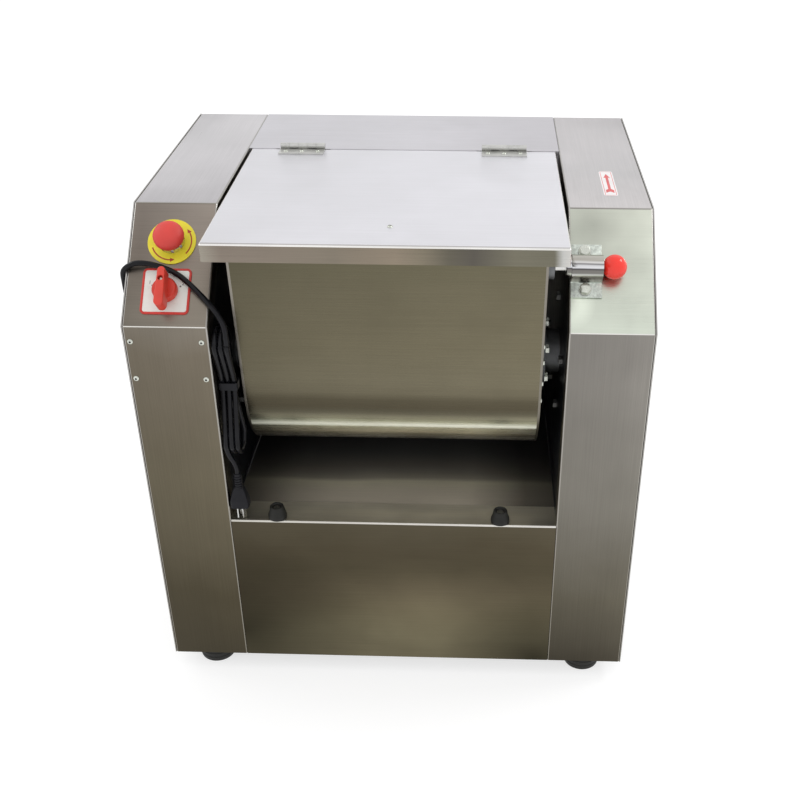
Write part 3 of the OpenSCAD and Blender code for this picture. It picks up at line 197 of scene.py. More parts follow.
class EditMode:
    def __init__(self, piece):
        self.piece = piece

    def __enter__(self):
        let_go(self.piece)
        bpy.ops.object.mode_set(mode="EDIT")
        return self

    def __exit__(self, *fault):
        bpy.ops.object.mode_set(mode="OBJECT")

    def pick(self, kind, test):
        bpy.ops.mesh.select_mode(type=kind)
        bpy.ops.mesh.select_all(action="DESELECT")
        form = bmesh.from_edit_mesh(self.piece.data)
        for part in form.faces if kind == "FACE" else form.edges:
            if test(part):
                part.select_set(True)
        form.select_flush_mode()
        bmesh.update_edit_mesh(self.piece.data)

    def faces(self, test):
        """Picks faces by their middle and their normal."""
        self.pick("FACE", lambda f: test(f.calc_center_median() / MM, f.normal))

    def edges(self, test):
        """Picks edges by their two ends."""
        self.pick("EDGE", lambda e: test(e.verts[0].co / MM, e.verts[1].co / MM))

    def everything(self):
        bpy.ops.mesh.select_mode(type="VERT")
        bpy.ops.mesh.select_all(action="SELECT")


# %% [markdown]
# Three starts serve for nearly all pieces: a block between two corners, an outline that is pulled
# up into a plate, and a profile that is spun into something round. The last two begin as a chain of
# points, which grows from one point by extruding it from place to place.

# %% Helpers for making


def block(name, low, high):
    let_go()
    middle = [(a + b) / 2 * MM for a, b in zip(low, high)]
    bpy.ops.mesh.primitive_cube_add(size=1, location=middle)
    piece = bpy.context.active_object
    piece.name = name
    piece.scale = [(b - a) * MM for a, b in zip(low, high)]
    bpy.ops.object.transform_apply(location=True, rotation=True, scale=True)
    return piece


def point_chain(name, points):
    let_go()
    bpy.ops.mesh.primitive_plane_add(size=MM)
    piece = bpy.context.active_object
    piece.name = name
    places = [Vector(point) * MM for point in points]
    with EditMode(piece) as edit:
        edit.everything()
        bpy.ops.mesh.merge(type="CENTER")
        bpy.ops.transform.translate(value=places[0])
        for a, b in zip(places, places[1:]):
            bpy.ops.mesh.extrude_vertices_move(TRANSFORM_OT_translate={"value": b - a})
    return piece


def lathe(name, profile, steps=64):
    """Profile points are (radius, height)."""
    piece = point_chain(name, [(r, 0, z) for r, z in profile])
    with EditMode(piece) as edit:
        edit.everything()
        bpy.ops.mesh.spin(steps=steps, angle=2 * math.pi, center=(0, 0, 0), axis=(0, 0, 1))
        edit.everything()
        bpy.ops.mesh.remove_doubles(threshold=0.01 * MM)
        bpy.ops.mesh.normals_make_consistent(inside=False)
    return piece


def plate(name, outline, low, high):
    """Outline points are (x, y); the plate stands from low to high."""
    piece = point_chain(name, [(x, y, low) for x, y in outline])
    with EditMode(piece) as edit:
        edit.everything()
        bpy.ops.mesh.edge_face_add()
        bpy.ops.mesh.extrude_region_move(
            TRANSFORM_OT_translate={"value": (0, 0, (high - low) * MM)})
        edit.everything()
        bpy.ops.mesh.normals_make_consistent(inside=False)
    return piece


# %% [markdown]
# Modifiers are applied at once, so that the mesh is what one sees. A piece that sits on a slope is
# made flat and then laid down, with its place in its mesh. What repeats is made once and copied,
# each copy with a mesh of its own.

# %% Helpers for shaping, placing and copying


def apply_modifier(piece, kind, **settings):
    let_go(piece)
    modifier = piece.modifiers.new(kind.lower(), kind)
    for key, value in settings.items():
        setattr(modifier, key, value)
    bpy.ops.object.modifier_apply(modifier=modifier.name)


def thicken(piece, thickness):
    """Gives a skin its thickness inwards."""
    apply_modifier(piece, "SOLIDIFY", thickness=thickness * MM, offset=-1, use_even_offset=True)


def lay(piece, matrix):
    """Puts the piece's place into its mesh."""
    let_go(piece)
    piece.matrix_world = matrix
    bpy.ops.object.transform_apply(location=True, rotation=True, scale=True)
    return piece


def place(x, y, z, about="Z", degrees=0):
    return Matrix.Translation(Vector((x, y, z)) * MM) @ Matrix.Rotation(
        math.radians(degrees), 4, about)


def join(pieces, name):
    let_go(pieces[0])
    for piece in pieces:
        piece.select_set(True)
    bpy.ops.object.join()
    pieces[0].name = name
    return pieces[0]


def copies_of(first, name, matrices):
    """Copies a finished piece to its places and joins the copies into one."""
    copies = []
    for matrix in matrices:
        let_go(first)
        bpy.ops.object.duplicate(linked=False)
        copies.append(lay(bpy.context.active_object, matrix))
    bpy.data.objects.remove(first)
    return join(copies, name)


def round_outline(wide, deep, radius, steps=8):
    x, y = wide / 2 - radius, deep / 2 - radius
    corners = ((x, y, 0), (-x, y, 90), (-x, -y, 180), (x, -y, 270))
    return [point for x, y, start in corners
            for point in arc(radius, start, start + 90, steps, x, y)]


# %% [markdown]
# The last steps are the same for every piece. It is shaded smooth, apart from edges sharper than an
# angle, gets its finish, and is told which body of the machine it moves with. A piece with several
# finishes has them painted on by face.

# %% Helpers for finishing a piece


def soften(piece, angle=35):
    let_go(piece)
    bpy.ops.object.shade_smooth_by_angle(angle=math.radians(angle))


def settle(piece, body, materials, replaced=()):
    """The last step of a piece: its finish, its body, and the CAD nodes that it stands for."""
    for material in materials if isinstance(materials, list) else [materials]:
        piece.data.materials.append(material)
    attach(piece, body)
    if replaced:
        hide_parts(*replaced)
    faces = len(piece.data.polygons) if piece.type == "MESH" else 0
    print(piece.name, "rides on", body, "with", faces, "faces")


def paint_faces(piece, index, test):
    """Gives faces a material by a test on their middle in millimetres and their normal."""
    for face in piece.data.polygons:
        if test(face.center / MM, face.normal):
            face.material_index = index


# %% [markdown]
# A finish is a small network of nodes. One helper makes a node and feeds it, with a socket that is
# linked or a value that is set. Another maps a value to a range that one chooses. The third tells
# what is seen, also in a mirror, from the light that only spreads.

# %% Helpers for nodes


def feed(tree, node, feeds):
    """Each feed of a node is a socket to link or a value to set."""
    for name, value in feeds.items():
        if isinstance(value, bpy.types.NodeSocket):
            tree.links.new(value, node.inputs[name])
        else:
            node.inputs[name].default_value = value


def add_node(tree, kind, feeds, operation=None):
    node = tree.nodes.new("ShaderNode" + kind)
    if operation:
        node.operation = operation
    feed(tree, node, feeds)
    return node


def spread(tree, value, low, high, start=0.3, end=0.7):
    """Maps a value, such as a noise, to a chosen range."""
    feeds = {"Value": value, "From Min": start, "From Max": end, "To Min": low, "To Max": high}
    return add_node(tree, "MapRange", feeds).outputs["Result"]


def seen_directly(tree):
    """1 where a camera, mirror or glass ray arrives, 0 for the light that spreads."""
    rays = add_node(tree, "LightPath", {}).outputs
    total = rays["Is Camera Ray"]
    for name in ("Is Glossy Ray", "Is Transmission Ray"):
        total = add_node(tree, "Math", {0: total, 1: rays[name]}, "MAXIMUM").outputs[0]
    return total


# %% [markdown]
# The room is a large pale floor, a white surround and a weak soft lamp high on either side.
# Polished steel shows what is around it, so the surround is white for the camera and in
# reflections, and a shade less for the light that it gives. The floor adds a little glow to its own
# lit colour, which makes it white and still lets it hold the machine's shadow.

# %% Floor, surround and lamps
let_go()
bpy.ops.mesh.primitive_plane_add(size=40, location=(0, 6, 0))
floor = bpy.context.active_object
floor.name = "studio_floor"
bpy.ops.object.transform_apply(location=True, rotation=True, scale=True)

white, floor_grey = (1, 1, 1, 1), (0.45, 0.45, 0.45, 1)
floor_paint = bpy.data.materials.new("floor_paint")
floor_paint.use_nodes = True
tree = floor_paint.node_tree
glow = spread(tree, seen_directly(tree), 0.35, 0.67, 0, 1)
feed(tree, tree.nodes["Principled BSDF"], {
    "Base Color": floor_grey, "Roughness": 1, "Specular IOR Level": 0,
    "Emission Color": white, "Emission Strength": glow})
floor.data.materials.append(floor_paint)

world = bpy.data.worlds.new("studio")
bpy.context.scene.world = world
world.use_nodes = True
tree = world.node_tree
level = spread(tree, seen_directly(tree), 0.96, 1, 0, 1)
feed(tree, tree.nodes["Background"], {"Color": white, "Strength": level})

lamp_aim = Vector((0, 0, 0.4))
for name, spot, size, power in (("lamp_left", (-2.3, 0.3, 2.3), 0.8, 8),
                                ("lamp_right", (2.0, 0.3, 2.4), 0.6, 13)):
    lamp_data = bpy.data.lights.new(name, "AREA")
    lamp_data.shape = "SQUARE"
    lamp_data.size = size
    lamp_data.energy = power
    lamp = bpy.data.objects.new(name, lamp_data)
    bpy.context.scene.collection.objects.link(lamp)
    lamp.location = spot
    lamp.rotation_euler = (lamp_aim - Vector(spot)).to_track_quat("-Z", "Y").to_euler()
    print(name, "at", spot, "with", power, "W")

# %% [markdown]
# Real surfaces are never one colour. A noise gives grain when it is stretched and clouds when it is
# wide, and a ramp along an axis gives the slow change of tone over a panel. All of them read the
# object's own coordinates, so they stay on a piece when it moves.

# %% Helpers for noise and tone


def start_finish(name, metallic, roughness):
    material = bpy.data.materials.new(name)
    material.use_nodes = True
    tree = material.node_tree
    shader = tree.nodes["Principled BSDF"]
    feed(tree, shader, {"Metallic": metallic, "Roughness": roughness})
    return material, tree, shader


def own_place(tree, scale=(1, 1, 1), shift=(0, 0, 0)):
    """Object coordinates, stretched and moved by a Mapping node."""
    where = add_node(tree, "TexCoord", {}).outputs["Object"]
    feeds = {"Vector": where, "Scale": scale, "Location": shift}
    return add_node(tree, "Mapping", feeds).outputs["Vector"]


def noise(tree, scale, detail=3, rough=0.55, shift=(0, 0, 0)):
    feeds = {"Vector": own_place(tree, scale, shift), "Scale": 1, "Detail": detail,
             "Roughness": rough}
    return add_node(tree, "TexNoise", feeds).outputs["Fac"]


def times(tree, a, b):
    return add_node(tree, "Math", {0: a, 1: b}, "MULTIPLY").outputs[0]


def scaled(tree, colour, amount):
    """A colour made lighter or darker by a number."""
    return add_node(tree, "VectorMath", {0: colour, "Scale": amount}, "SCALE").outputs[0]


def ramp(tree, value, stops):
    node = add_node(tree, "ValToRGB", {"Fac": value})
    elements = node.color_ramp.elements
    while len(elements) < len(stops):
        elements.new(0.5)
    for element, (spot, colour) in zip(elements, stops):
        element.position = spot
        element.color = (*colour, 1)
    return node.outputs["Color"]


def grey(amount):
    return (amount, amount, amount)


def tone_along(tree, axis, tones, sway=0.0):
    """Tones are (place in millimetres, colour), sorted along an axis of the object."""
    value = add_node(tree, "SeparateXYZ", {"Vector": own_place(tree)}).outputs[axis]
    first, last = tones[0][0] * MM, tones[-1][0] * MM
    if sway:
        wave = spread(tree, noise(tree, (7, 7, 7), 2), -sway * MM, sway * MM)
        value = add_node(tree, "Math", {0: value, 1: wave}, "ADD").outputs[0]
    run = spread(tree, value, 0, 1, first, last)
    return ramp(tree, run, [((spot * MM - first) / (last - first), colour)
                            for spot, colour in tones])


def bump_from(tree, height, strength, distance):
    feeds = {"Height": height, "Strength": strength, "Distance": distance}
    return add_node(tree, "Bump", feeds).outputs["Normal"]


# %% [markdown]
# Brushed sheet steel is most of what one sees. It carries fine grain in one direction and soft
# clouds from handling, and on top of that its tones paint the light and shade of a room: a slow
# drift over a panel, and here and there a patch of painted glare or painted shade. The finish is a
# metal whose colour runs through a few tones along one axis, times an optional second run of
# painted light and shade, a stretched noise for the grain, a wide one for the clouds, and ovals for
# the painted patches. The same noises move the roughness and a very small bump.

# %% The finish of brushed steel


def patch(tree, x, z, reach_x, reach_z, factor):
    """A factor at the middle of an oval on a front face, and 1 at and past its rim: above 1 for
    painted glare, below 1 for painted shade.
    """
    grow = (1 / (reach_x * MM), 0, 1 / (reach_z * MM))
    feeds = {0: own_place(tree), 1: grow, 2: (-x / reach_x, 0, -z / reach_z)}
    oval = add_node(tree, "VectorMath", feeds, "MULTIPLY_ADD").outputs["Vector"]
    away = add_node(tree, "VectorMath", {0: oval}, "LENGTH").outputs["Value"]
    return spread(tree, away, factor, 1, 0, 1)


def steel(name, axis, tones, grain, rough=0.36, sway=15, depth=0.08, cloud=0.07, shade=(),
          bump=0.12, painted_patches=(), metallic=1.0):
    """Shade is a second run of factors, (axis, [(place, factor), ...]), over the first tones:
    painted light and shade. Painted patches are ovals of painted glare and painted shade.
    """
    material, tree, shader = start_finish(name, metallic, rough)
    fine = noise(tree, grain, 4, 0.65)
    wide = noise(tree, (9, 9, 9), 3, 0.6, (1.3, 0.4, 0.7))
    light = times(tree, spread(tree, fine, 1 - depth, 1 + depth),
                  spread(tree, wide, 1 - cloud, 1 + cloud))
    if shade:
        greys = [(spot, grey(factor / 2)) for spot, factor in shade[1]]
        factor = spread(tree, tone_along(tree, shade[0], greys, sway), 0, 2, 0, 1)
        light = times(tree, light, factor)
    # Each oval brightens or darkens the colour as a patch of painted glare or painted shade.
    for spot in painted_patches:
        light = times(tree, light, patch(tree, *spot))
    feed(tree, shader, {
        "Base Color": scaled(tree, tone_along(tree, axis, tones, sway), light),
        "Roughness": times(tree, spread(tree, fine, rough - 0.05, rough + 0.05),
                           spread(tree, wide, 0.85, 1.15)),
        "Normal": bump_from(tree, fine, bump, 0.0004)})
    return material


# %% [markdown]
# Each group of panels gets its own tones, though all are one brushed steel: the tones are painted
# light and shade. The lid and the casing tops are painted pale as if lit from above, and the fronts
# are painted olive and darker towards the floor as a painted reflection of a dark floor. Grain runs
# up and down on the fronts and across on the slopes. Folds are narrow and catch more light, so they
# get their own painted highlight. Where a whole run of tones came out a little too light in the
# room, one factor brings it down.

# %% Steel finishes of the panels


def dimmed(factor, tones):
    return [(spot, tuple(part * factor for part in colour)) for spot, colour in tones]


upright, across, back_to_front = (900, 900, 9), (9, 900, 900), (900, 9, 900)
# The tops are painted pale as light from above, a little darker or lighter towards their fronts.
top_left = steel("casing_top_left", "Y", [(-126, (0.49, 0.475, 0.49)), (-40, (0.56, 0.545, 0.56)),
                                          (260, (0.61, 0.595, 0.61))], back_to_front)
top_right = steel("casing_top_right", "Y",
                  [(-126, (0.61, 0.585, 0.585)), (0, (0.56, 0.545, 0.55)),
                   (260, (0.57, 0.545, 0.555))], back_to_front)
# The two slopes are one steel: the left one is painted dark, and darker to its left, as painted
# shade; the right one is painted pale and lighter towards its foot, as painted light, with ovals of
# painted glare and painted shade.
slope_left = steel("slope_left", "Y", [(-248, (0.225, 0.20, 0.165)), (-190, (0.25, 0.212, 0.18)),
                                       (-126, (0.27, 0.235, 0.205))],
                   across, shade=("X", [(-325, 0.72), (-300, 0.88), (-265, 1.02), (-219, 1.16)]))
slope_right = steel("slope_right", "Y", [(-248, (0.71, 0.76, 0.66)), (-215, (0.65, 0.69, 0.60)),
                                         (-190, (0.58, 0.61, 0.53)), (-126, (0.57, 0.59, 0.515))],
                    across, 0.33, 25, 0.03, 0.10,
                    ("X", [(219, 0.95), (245, 0.92), (270, 0.95), (295, 1.0), (325, 1.06)]),
                    painted_patches=[(226, 590, 26, 26, 1.5), (250, 658, 40, 22, 0.76),
                             (325, 561, 60, 45, 0.86)])
# The fronts are painted darker towards the floor as a painted reflection of a dark floor, with runs
# of painted shade across them.
front_left = steel("front_left", "Z",
                   [(30, (0.063, 0.054, 0.036)), (150, (0.073, 0.062, 0.04)),
                    (330, (0.130, 0.113, 0.078)), (530, (0.158, 0.136, 0.104)),
                    (561, (0.19, 0.168, 0.137))], upright,
                   shade=("X", [(-325, 0.95), (-270, 1.0), (-219, 1.1)]))
front_right = steel("front_right", "Z", dimmed(0.94, [
                    (30, (0.065, 0.057, 0.042)), (150, (0.125, 0.113, 0.085)),
                    (330, (0.21, 0.198, 0.172)), (561, (0.25, 0.236, 0.217))]), upright,
                    shade=("X", [(219, 0.94), (290, 1.0), (325, 1.14)]))
# The inner edges are painted darker towards the floor as painted shade.
inner_return = steel("inner_return", "Z", [(30, (0.12, 0.11, 0.09)), (300, (0.19, 0.175, 0.15)),
                                           (561, (0.24, 0.22, 0.19))], upright, 0.3)
# The folds get a painted highlight, and the front folds a brighter one.
painted_fold_highlight = steel("painted_fold_highlight", "Z", [(30, (0.26, 0.24, 0.20)), (561, (0.40, 0.385, 0.36)),
                                       (674, (0.40, 0.39, 0.37))], across, 0.3)
painted_front_fold_highlight = steel("painted_front_fold_highlight", "X", [(-325, (0.74, 0.72, 0.68)), (325, (0.80, 0.79, 0.76))],
                    across, 0.25)
# The side covers and the back are painted darker towards the floor as painted shade.
side_steel = steel("side_steel", "Z", [(30, (0.26, 0.245, 0.215)), (250, (0.36, 0.345, 0.32)),
                                       (674, (0.50, 0.485, 0.47))], upright, 0.36)
back_steel = steel("back_steel", "Z", [(30, (0.28, 0.27, 0.24)), (674, (0.50, 0.49, 0.47))],
                   across, 0.37)
rear_top = steel("rear_top", "X", [(-219, (0.59, 0.58, 0.61)), (0, (0.61, 0.60, 0.63)),
                                   (219, (0.565, 0.55, 0.58))], across)
print("Panel finishes made")

# %% [markdown]
# The casings carry most other pieces, so their measures get names first. Their front is cut back
# by a slope, on which the controls and the lock sit. A helper says where a flat-made piece goes on
# it, and another how far a point is above it.

# %% Measures of the casings and their slope
inside_x, cover_x, front_y, back_y = 219, 323.5, -248, 260
foot_height, body_height = 30, 674
slope_angle = math.atan2(113, 122)
slope_edge = Vector((0, -126, body_height))
up_slope = Vector((0, math.cos(slope_angle), math.sin(slope_angle)))
slope_normal = Vector((0, -math.sin(slope_angle), math.cos(slope_angle)))


def on_slope(x, down, out=0):
    """A place on the slope: x across, so far down from its upper edge, and outwards."""
    spot = slope_edge + Vector((x, 0, 0)) - up_slope * down + slope_normal * out
    return Matrix.Translation(spot * MM) @ Matrix.Rotation(slope_angle, 4, "X")


def above_slope(point):
    return (point - slope_edge).dot(slope_normal)


print("Slope in degrees:", round(math.degrees(slope_angle), 1))

# %% [markdown]
# The casings are sheet folded round the sides of the machine. Each starts as a block that is cut
# by the slope, its two sides are inset and opened so that only the turned-in edges stay, the folds
# get a small round, and the skin is given its 1.5 mm. The block starts lower by a spare length and
# is cut off at the foot height later, so that the turned-in edges run out at the bottom as on the
# real sheet.

# %% Fold the casings
sheet, fold_round, inner_lip, outer_lip, spare_length = 1.5, 2, 28, 15, 29


def on_rim(p):
    """True for a point on the outer outline of a casing, seen from the side."""
    return (abs(p.y - front_y) < 1 or abs(p.y - back_y) < 1 or abs(p.z - body_height) < 1
            or abs(above_slope(p)) < 1)


def on_fold(a, b):
    """True for an edge across a casing or along its outline. At the foot only long ones count."""
    along_rim = abs(a.x - b.x) < 1 and on_rim(a) and on_rim(b)
    if min(a.z, b.z) > foot_height + 1:
        return along_rim or abs(a.x - b.x) > 90
    return along_rim and abs(a.z - b.z) > 90


def fold_casing(name, side):
    low_x, high_x = sorted((side * inside_x, side * cover_x))
    sheet_metal = block(name, (low_x, front_y, foot_height - spare_length),
                        (high_x, back_y, body_height))
    with EditMode(sheet_metal) as edit:
        edit.everything()
        bpy.ops.mesh.bisect(plane_co=slope_edge * MM, plane_no=slope_normal, use_fill=True,
                            clear_outer=True)
        for inner, lip in ((True, inner_lip), (False, outer_lip)):
            edit.faces(lambda c, n: abs(n.x) > 0.9 and (n.x * side < 0) == inner)
            bpy.ops.mesh.inset(thickness=lip * MM, use_even_offset=True)
            bpy.ops.mesh.delete(type="FACE")
        edit.everything()
        bpy.ops.mesh.bisect(plane_co=(0, 0, foot_height * MM), plane_no=(0, 0, 1),
                            clear_inner=True)
        edit.edges(on_fold)
        bpy.ops.mesh.bevel(offset=fold_round * MM, segments=3, affect="EDGES")
    thicken(sheet_metal, sheet)
    return sheet_metal


casing_left = fold_casing("casing_left_sheet", -1)
casing_right = fold_casing("casing_right_sheet", 1)
print("Casings folded:", len(casing_left.data.polygons), "faces each")

# %% [markdown]
# The control holes are cut with round blanks. Then each face is given its finish by the way that
# it looks: up, along the slope, to the front or inwards, each a lit or shaded tone of the one
# steel, with a painted highlight on the folds.

# %% Cut the control holes and finish the casings


def round_blank(name, width, length, matrix, sides=48):
    let_go()
    bpy.ops.mesh.primitive_cylinder_add(vertices=sides, radius=width / 2 * MM, depth=length * MM)
    piece = bpy.context.active_object
    piece.name = name
    return lay(piece, matrix)


def cut(piece, blank):
    apply_modifier(piece, "BOOLEAN", object=blank, operation="DIFFERENCE", solver="EXACT")
    bpy.data.objects.remove(blank)


stop_spot, switch_spot = on_slope(-271.4, 54), on_slope(-273, 120)
for hole_wide, spot in ((22.1, stop_spot), (16.1, switch_spot)):
    cut(casing_left, round_blank("hole_blank", hole_wide, 20, spot))


def finish_casing(piece, top, slope, front, replaced):
    settle(piece, "body",
           [front, top, slope, inner_return, back_steel, painted_fold_highlight, painted_front_fold_highlight], [replaced])
    # Faces get lit and shaded tones of one steel by their facing, as painted light and shade, and
    # folds a painted highlight.
    paint_faces(piece, 1, lambda c, n: n.z > 0.98)
    paint_faces(piece, 2, lambda c, n: n.dot(slope_normal) > 0.99)
    paint_faces(piece, 3, lambda c, n: abs(n.x) > 0.98)
    paint_faces(piece, 4, lambda c, n: n.y > 0.98)
    paint_faces(piece, 5, lambda c, n: max(abs(n.x), abs(n.y), n.z, n.dot(slope_normal)) < 0.97)
    paint_faces(piece, 6, lambda c, n: abs(n.x) < 0.1 and abs(c.y - front_y) < 4 and (
        -0.98 < n.y and n.dot(slope_normal) < 0.98))
    soften(piece)


finish_casing(casing_left, top_left, slope_left, front_left, "left_casing")
finish_casing(casing_right, top_right, slope_right, front_right, "right_casing")

# %% [markdown]
# The lid is one sheet with its edges turned down. It starts as a block without its bottom, gets
# crisp folds, and then its thickness. Its top is painted a little darker to the left as painted
# shade, and its skirt is painted darker than its top as painted reflection and shade, apart from
# the right end, where it catches the light as a painted highlight. Its fold is a painted highlight.
# Two cuts across the top bound a narrow strip of painted shade behind the fold.

# %% Lid
lid_half, lid_front, lid_back_y, lid_low = 214.5, -260, 90.5, 652
shade_start, shade_end = 1.8, 5.2
lid_cover = block("lid_cover", (-lid_half, lid_front, lid_low), (lid_half, lid_back_y, body_height))
with EditMode(lid_cover) as edit:
    edit.faces(lambda c, n: n.z < -0.9)
    bpy.ops.mesh.delete(type="FACE")
    edit.edges(lambda a, b: abs(a.z - b.z) > 5 and a.y < 0)
    bpy.ops.mesh.bevel(offset=3 * MM, segments=4, affect="EDGES")
    edit.edges(lambda a, b: min(a.z, b.z) > body_height - 0.1)
    bpy.ops.mesh.bevel(offset=1.6 * MM, segments=3, affect="EDGES")
    for y in (lid_front + shade_start, lid_front + shade_end):
        edit.everything()
        bpy.ops.mesh.bisect(plane_co=(0, y * MM, 0), plane_no=(0, 1, 0))
thicken(lid_cover, sheet)
# The top is painted a little darker to the left, as painted shade.
lid_top = steel("lid_top", "X", [(-214, (0.71, 0.705, 0.735)), (0, (0.74, 0.735, 0.77)),
                                 (214, (0.76, 0.755, 0.79))], across, 0.42, 10, 0.04, 0.035)
# The skirt is painted darker than the top as painted reflection and shade, with a painted highlight
# at its right end.
lid_skirt = steel("lid_skirt", "X", dimmed(0.94, [
    (-214, (0.34, 0.31, 0.26)), (-190, (0.25, 0.21, 0.175)), (-60, (0.225, 0.195, 0.155)),
    (15, (0.28, 0.232, 0.178)), (42, (0.23, 0.20, 0.15)), (75, (0.14, 0.128, 0.10)),
    (105, (0.115, 0.105, 0.09)), (150, (0.19, 0.178, 0.135)), (196, (0.18, 0.17, 0.13)),
    (206, (0.55, 0.55, 0.53)), (214, (0.62, 0.61, 0.58))]), across, 0.3, 6)
# The fold is a painted highlight, and the strip behind it is painted shade.
lid_fold_painted_highlight = steel("lid_fold_painted_highlight", "X", [(-214, (0.88, 0.86, 0.84)), (214, (0.84, 0.83, 0.80))],
                 across, 0.22)
lid_shade = steel("lid_shade", "X", [(-214, (0.42, 0.40, 0.39)), (214, (0.50, 0.485, 0.48))],
                  across, 0.3)
settle(lid_cover, "lid", [lid_top, lid_skirt, lid_fold_painted_highlight, lid_shade], ["lid_panel"])
paint_faces(lid_cover, 1, lambda c, n: n.z < 0.5)
paint_faces(lid_cover, 2, lambda c, n: 0.2 < n.z < 0.97)
paint_faces(lid_cover, 3, lambda c, n: n.z > 0.97 and shade_start < c.y - lid_front < shade_end)
soften(lid_cover)

# %% [markdown]
# The tub is a sheet bent to a round bottom. Its outline is drawn point by point: down the leaning
# front wall, round under the axis, and up the rear wall, which is shorter because it must pass
# under the closed lid. The line is then pulled across the machine and given its thickness.

# %% Shape of the tub
tub_axis = Vector((0, -85.5, 453))
tub_radius, tub_half, rim_up, rear_reach, wall_sheet = 125, 189, 192, 215, 2
lean_degrees = 5.3


def wall_out(up):
    """How far a leaning wall is from the axis, so far up."""
    wall_lean = math.radians(lean_degrees)
    return (tub_radius + up * math.sin(wall_lean)) / math.cos(wall_lean)


rear_up = next(up / 10 for up in range(1900, 1000, -1)
               if math.hypot(wall_out(up / 10), up / 10) <= rear_reach)
front_wall = [(-wall_out(up), up) for up in range(rim_up, 0, -12)]
rear_wall = [(wall_out(rear_up * step / 12), rear_up * step / 12) for step in range(1, 13)]
bottom = arc(tub_radius, 180 + lean_degrees, 360 - lean_degrees, 64)
outline = front_wall + bottom + rear_wall
tub = point_chain("tub_shell", [(-tub_half, tub_axis.y + y, tub_axis.z + z) for y, z in outline])
with EditMode(tub) as edit:
    edit.everything()
    bpy.ops.mesh.extrude_edges_move(TRANSFORM_OT_translate={"value": (2 * tub_half * MM, 0, 0)})
    edit.everything()
    bpy.ops.mesh.normals_make_consistent(inside=False)
middle_face = min(tub.data.polygons, key=lambda f: f.center.z)
if middle_face.normal.z > 0:
    with EditMode(tub) as edit:
        edit.everything()
        bpy.ops.mesh.flip_normals()
thicken(tub, wall_sheet)
print("Rear wall ends above the axis by", rear_up, "mm")

# %% [markdown]
# The tub's outside has its tones from the bottom up, and they paint reflections: a dark underside,
# a bright band of painted highlight where the wall turns under, and a dark band of painted
# reflection with a dark wall of painted reflection above it, with painted shade towards the left
# end. One line in the band is less metallic, so that the painted highlight stays pale whatever it
# mirrors. The inside is told from the outside by whether a face looks towards the axis.

# %% Finish of the tub
# The tones are painted reflections: a dark underside, a bright painted highlight, a dark band above
# it, and painted shade towards the left end.
tub_outside = steel("tub_outside", "Z", [
    (327, (0.11, 0.105, 0.09)), (350, (0.20, 0.19, 0.165)), (357, (0.85, 0.83, 0.74)),
    (365, (0.85, 0.83, 0.74)), (371, (0.60, 0.57, 0.48)), (374, (0.62, 0.59, 0.49)),
    (379, (0.95, 0.91, 0.76)), (385, (0.86, 0.85, 0.70)), (391, (0.92, 0.94, 0.78)),
    (394, (0.99, 1.0, 0.84)), (398, (0.99, 1.0, 0.84)), (404, (0.62, 0.63, 0.48)),
    (408, (0.36, 0.345, 0.245)),
    (413, (0.225, 0.21, 0.145)), (418, (0.13, 0.118, 0.081)), (423, (0.096, 0.086, 0.058)),
    (429, (0.085, 0.073, 0.048)), (441, (0.092, 0.08, 0.053)), (452, (0.14, 0.124, 0.084)),
    (470, (0.157, 0.14, 0.095)), (520, (0.15, 0.133, 0.088)), (600, (0.139, 0.124, 0.082)),
    (645, (0.127, 0.115, 0.075))], across, 0.27, 1.0, 0.07, 0.06,
    ("X", [(-190, 0.80), (-110, 0.93), (0, 1.0), (110, 1.10), (190, 1.14)]), 0.02)
tree = tub_outside.node_tree
# Less metal in the painted highlight keeps it pale.
painted_highlight_metallic = tone_along(tree, "Z", [
    (391, grey(1)), (394, grey(0.2)), (397, grey(0.2)), (405, grey(1))])
feed(tree, tree.nodes["Principled BSDF"], {"Metallic": painted_highlight_metallic})
tub_inside = steel("tub_inside", "Z", [(330, (0.42, 0.41, 0.38)), (645, (0.52, 0.51, 0.48))],
                   across, 0.34)
settle(tub, "trough", [tub_outside, tub_inside], ["trough_shell"])


def looks_inwards(c, n):
    arm = Vector((0, tub_axis.y - c.y, tub_axis.z - c.z))
    return n.dot(arm) > 0


paint_faces(tub, 1, looks_inwards)
soften(tub)

# %% [markdown]
# Below the tub, the front sheet is folded back into a narrow ledge. It is a block of which only
# the front and the top stay, with a rounded fold between them.

# %% Front apron
ledge_height, ledge_deep = 272, 45
apron = block("front_apron", (-inside_x, front_y, foot_height),
              (inside_x, front_y + ledge_deep, ledge_height))
with EditMode(apron) as edit:
    edit.faces(lambda c, n: abs(n.x) > 0.9 or n.z < -0.9 or n.y > 0.9)
    bpy.ops.mesh.delete(type="FACE")
    edit.edges(lambda a, b: abs(a.x - b.x) > 400 and a.z > ledge_height - 1 and a.y < front_y + 1)
    bpy.ops.mesh.bevel(offset=2.4 * MM, segments=4, affect="EDGES")
thicken(apron, sheet)
# The front's tones paint reflection and shade: lighter near the floor, darker up under the ledge
# and to the left, with ovals of painted shade at its lower corners and a painted highlight in its
# middle.
apron_front = steel("apron_front", "Z", dimmed(0.96, [
    (30, (0.15, 0.132, 0.083)), (70, (0.145, 0.128, 0.08)), (115, (0.108, 0.093, 0.058)),
    (160, (0.086, 0.072, 0.046)), (195, (0.071, 0.06, 0.038)), (230, (0.074, 0.062, 0.04)),
    (262, (0.084, 0.072, 0.048)), (270, (0.087, 0.074, 0.05))]), across, 0.36, 12, 0.07, 0.08,
    shade=("X", [(-219, 0.9), (-150, 1.0), (-60, 1.06), (50, 1.09), (140, 1.12), (219, 1.18)]),
    painted_patches=[(-219, 75, 190, 170, 0.3), (200, 30, 140, 120, 0.2), (40, 130, 150, 85, 1.5)])
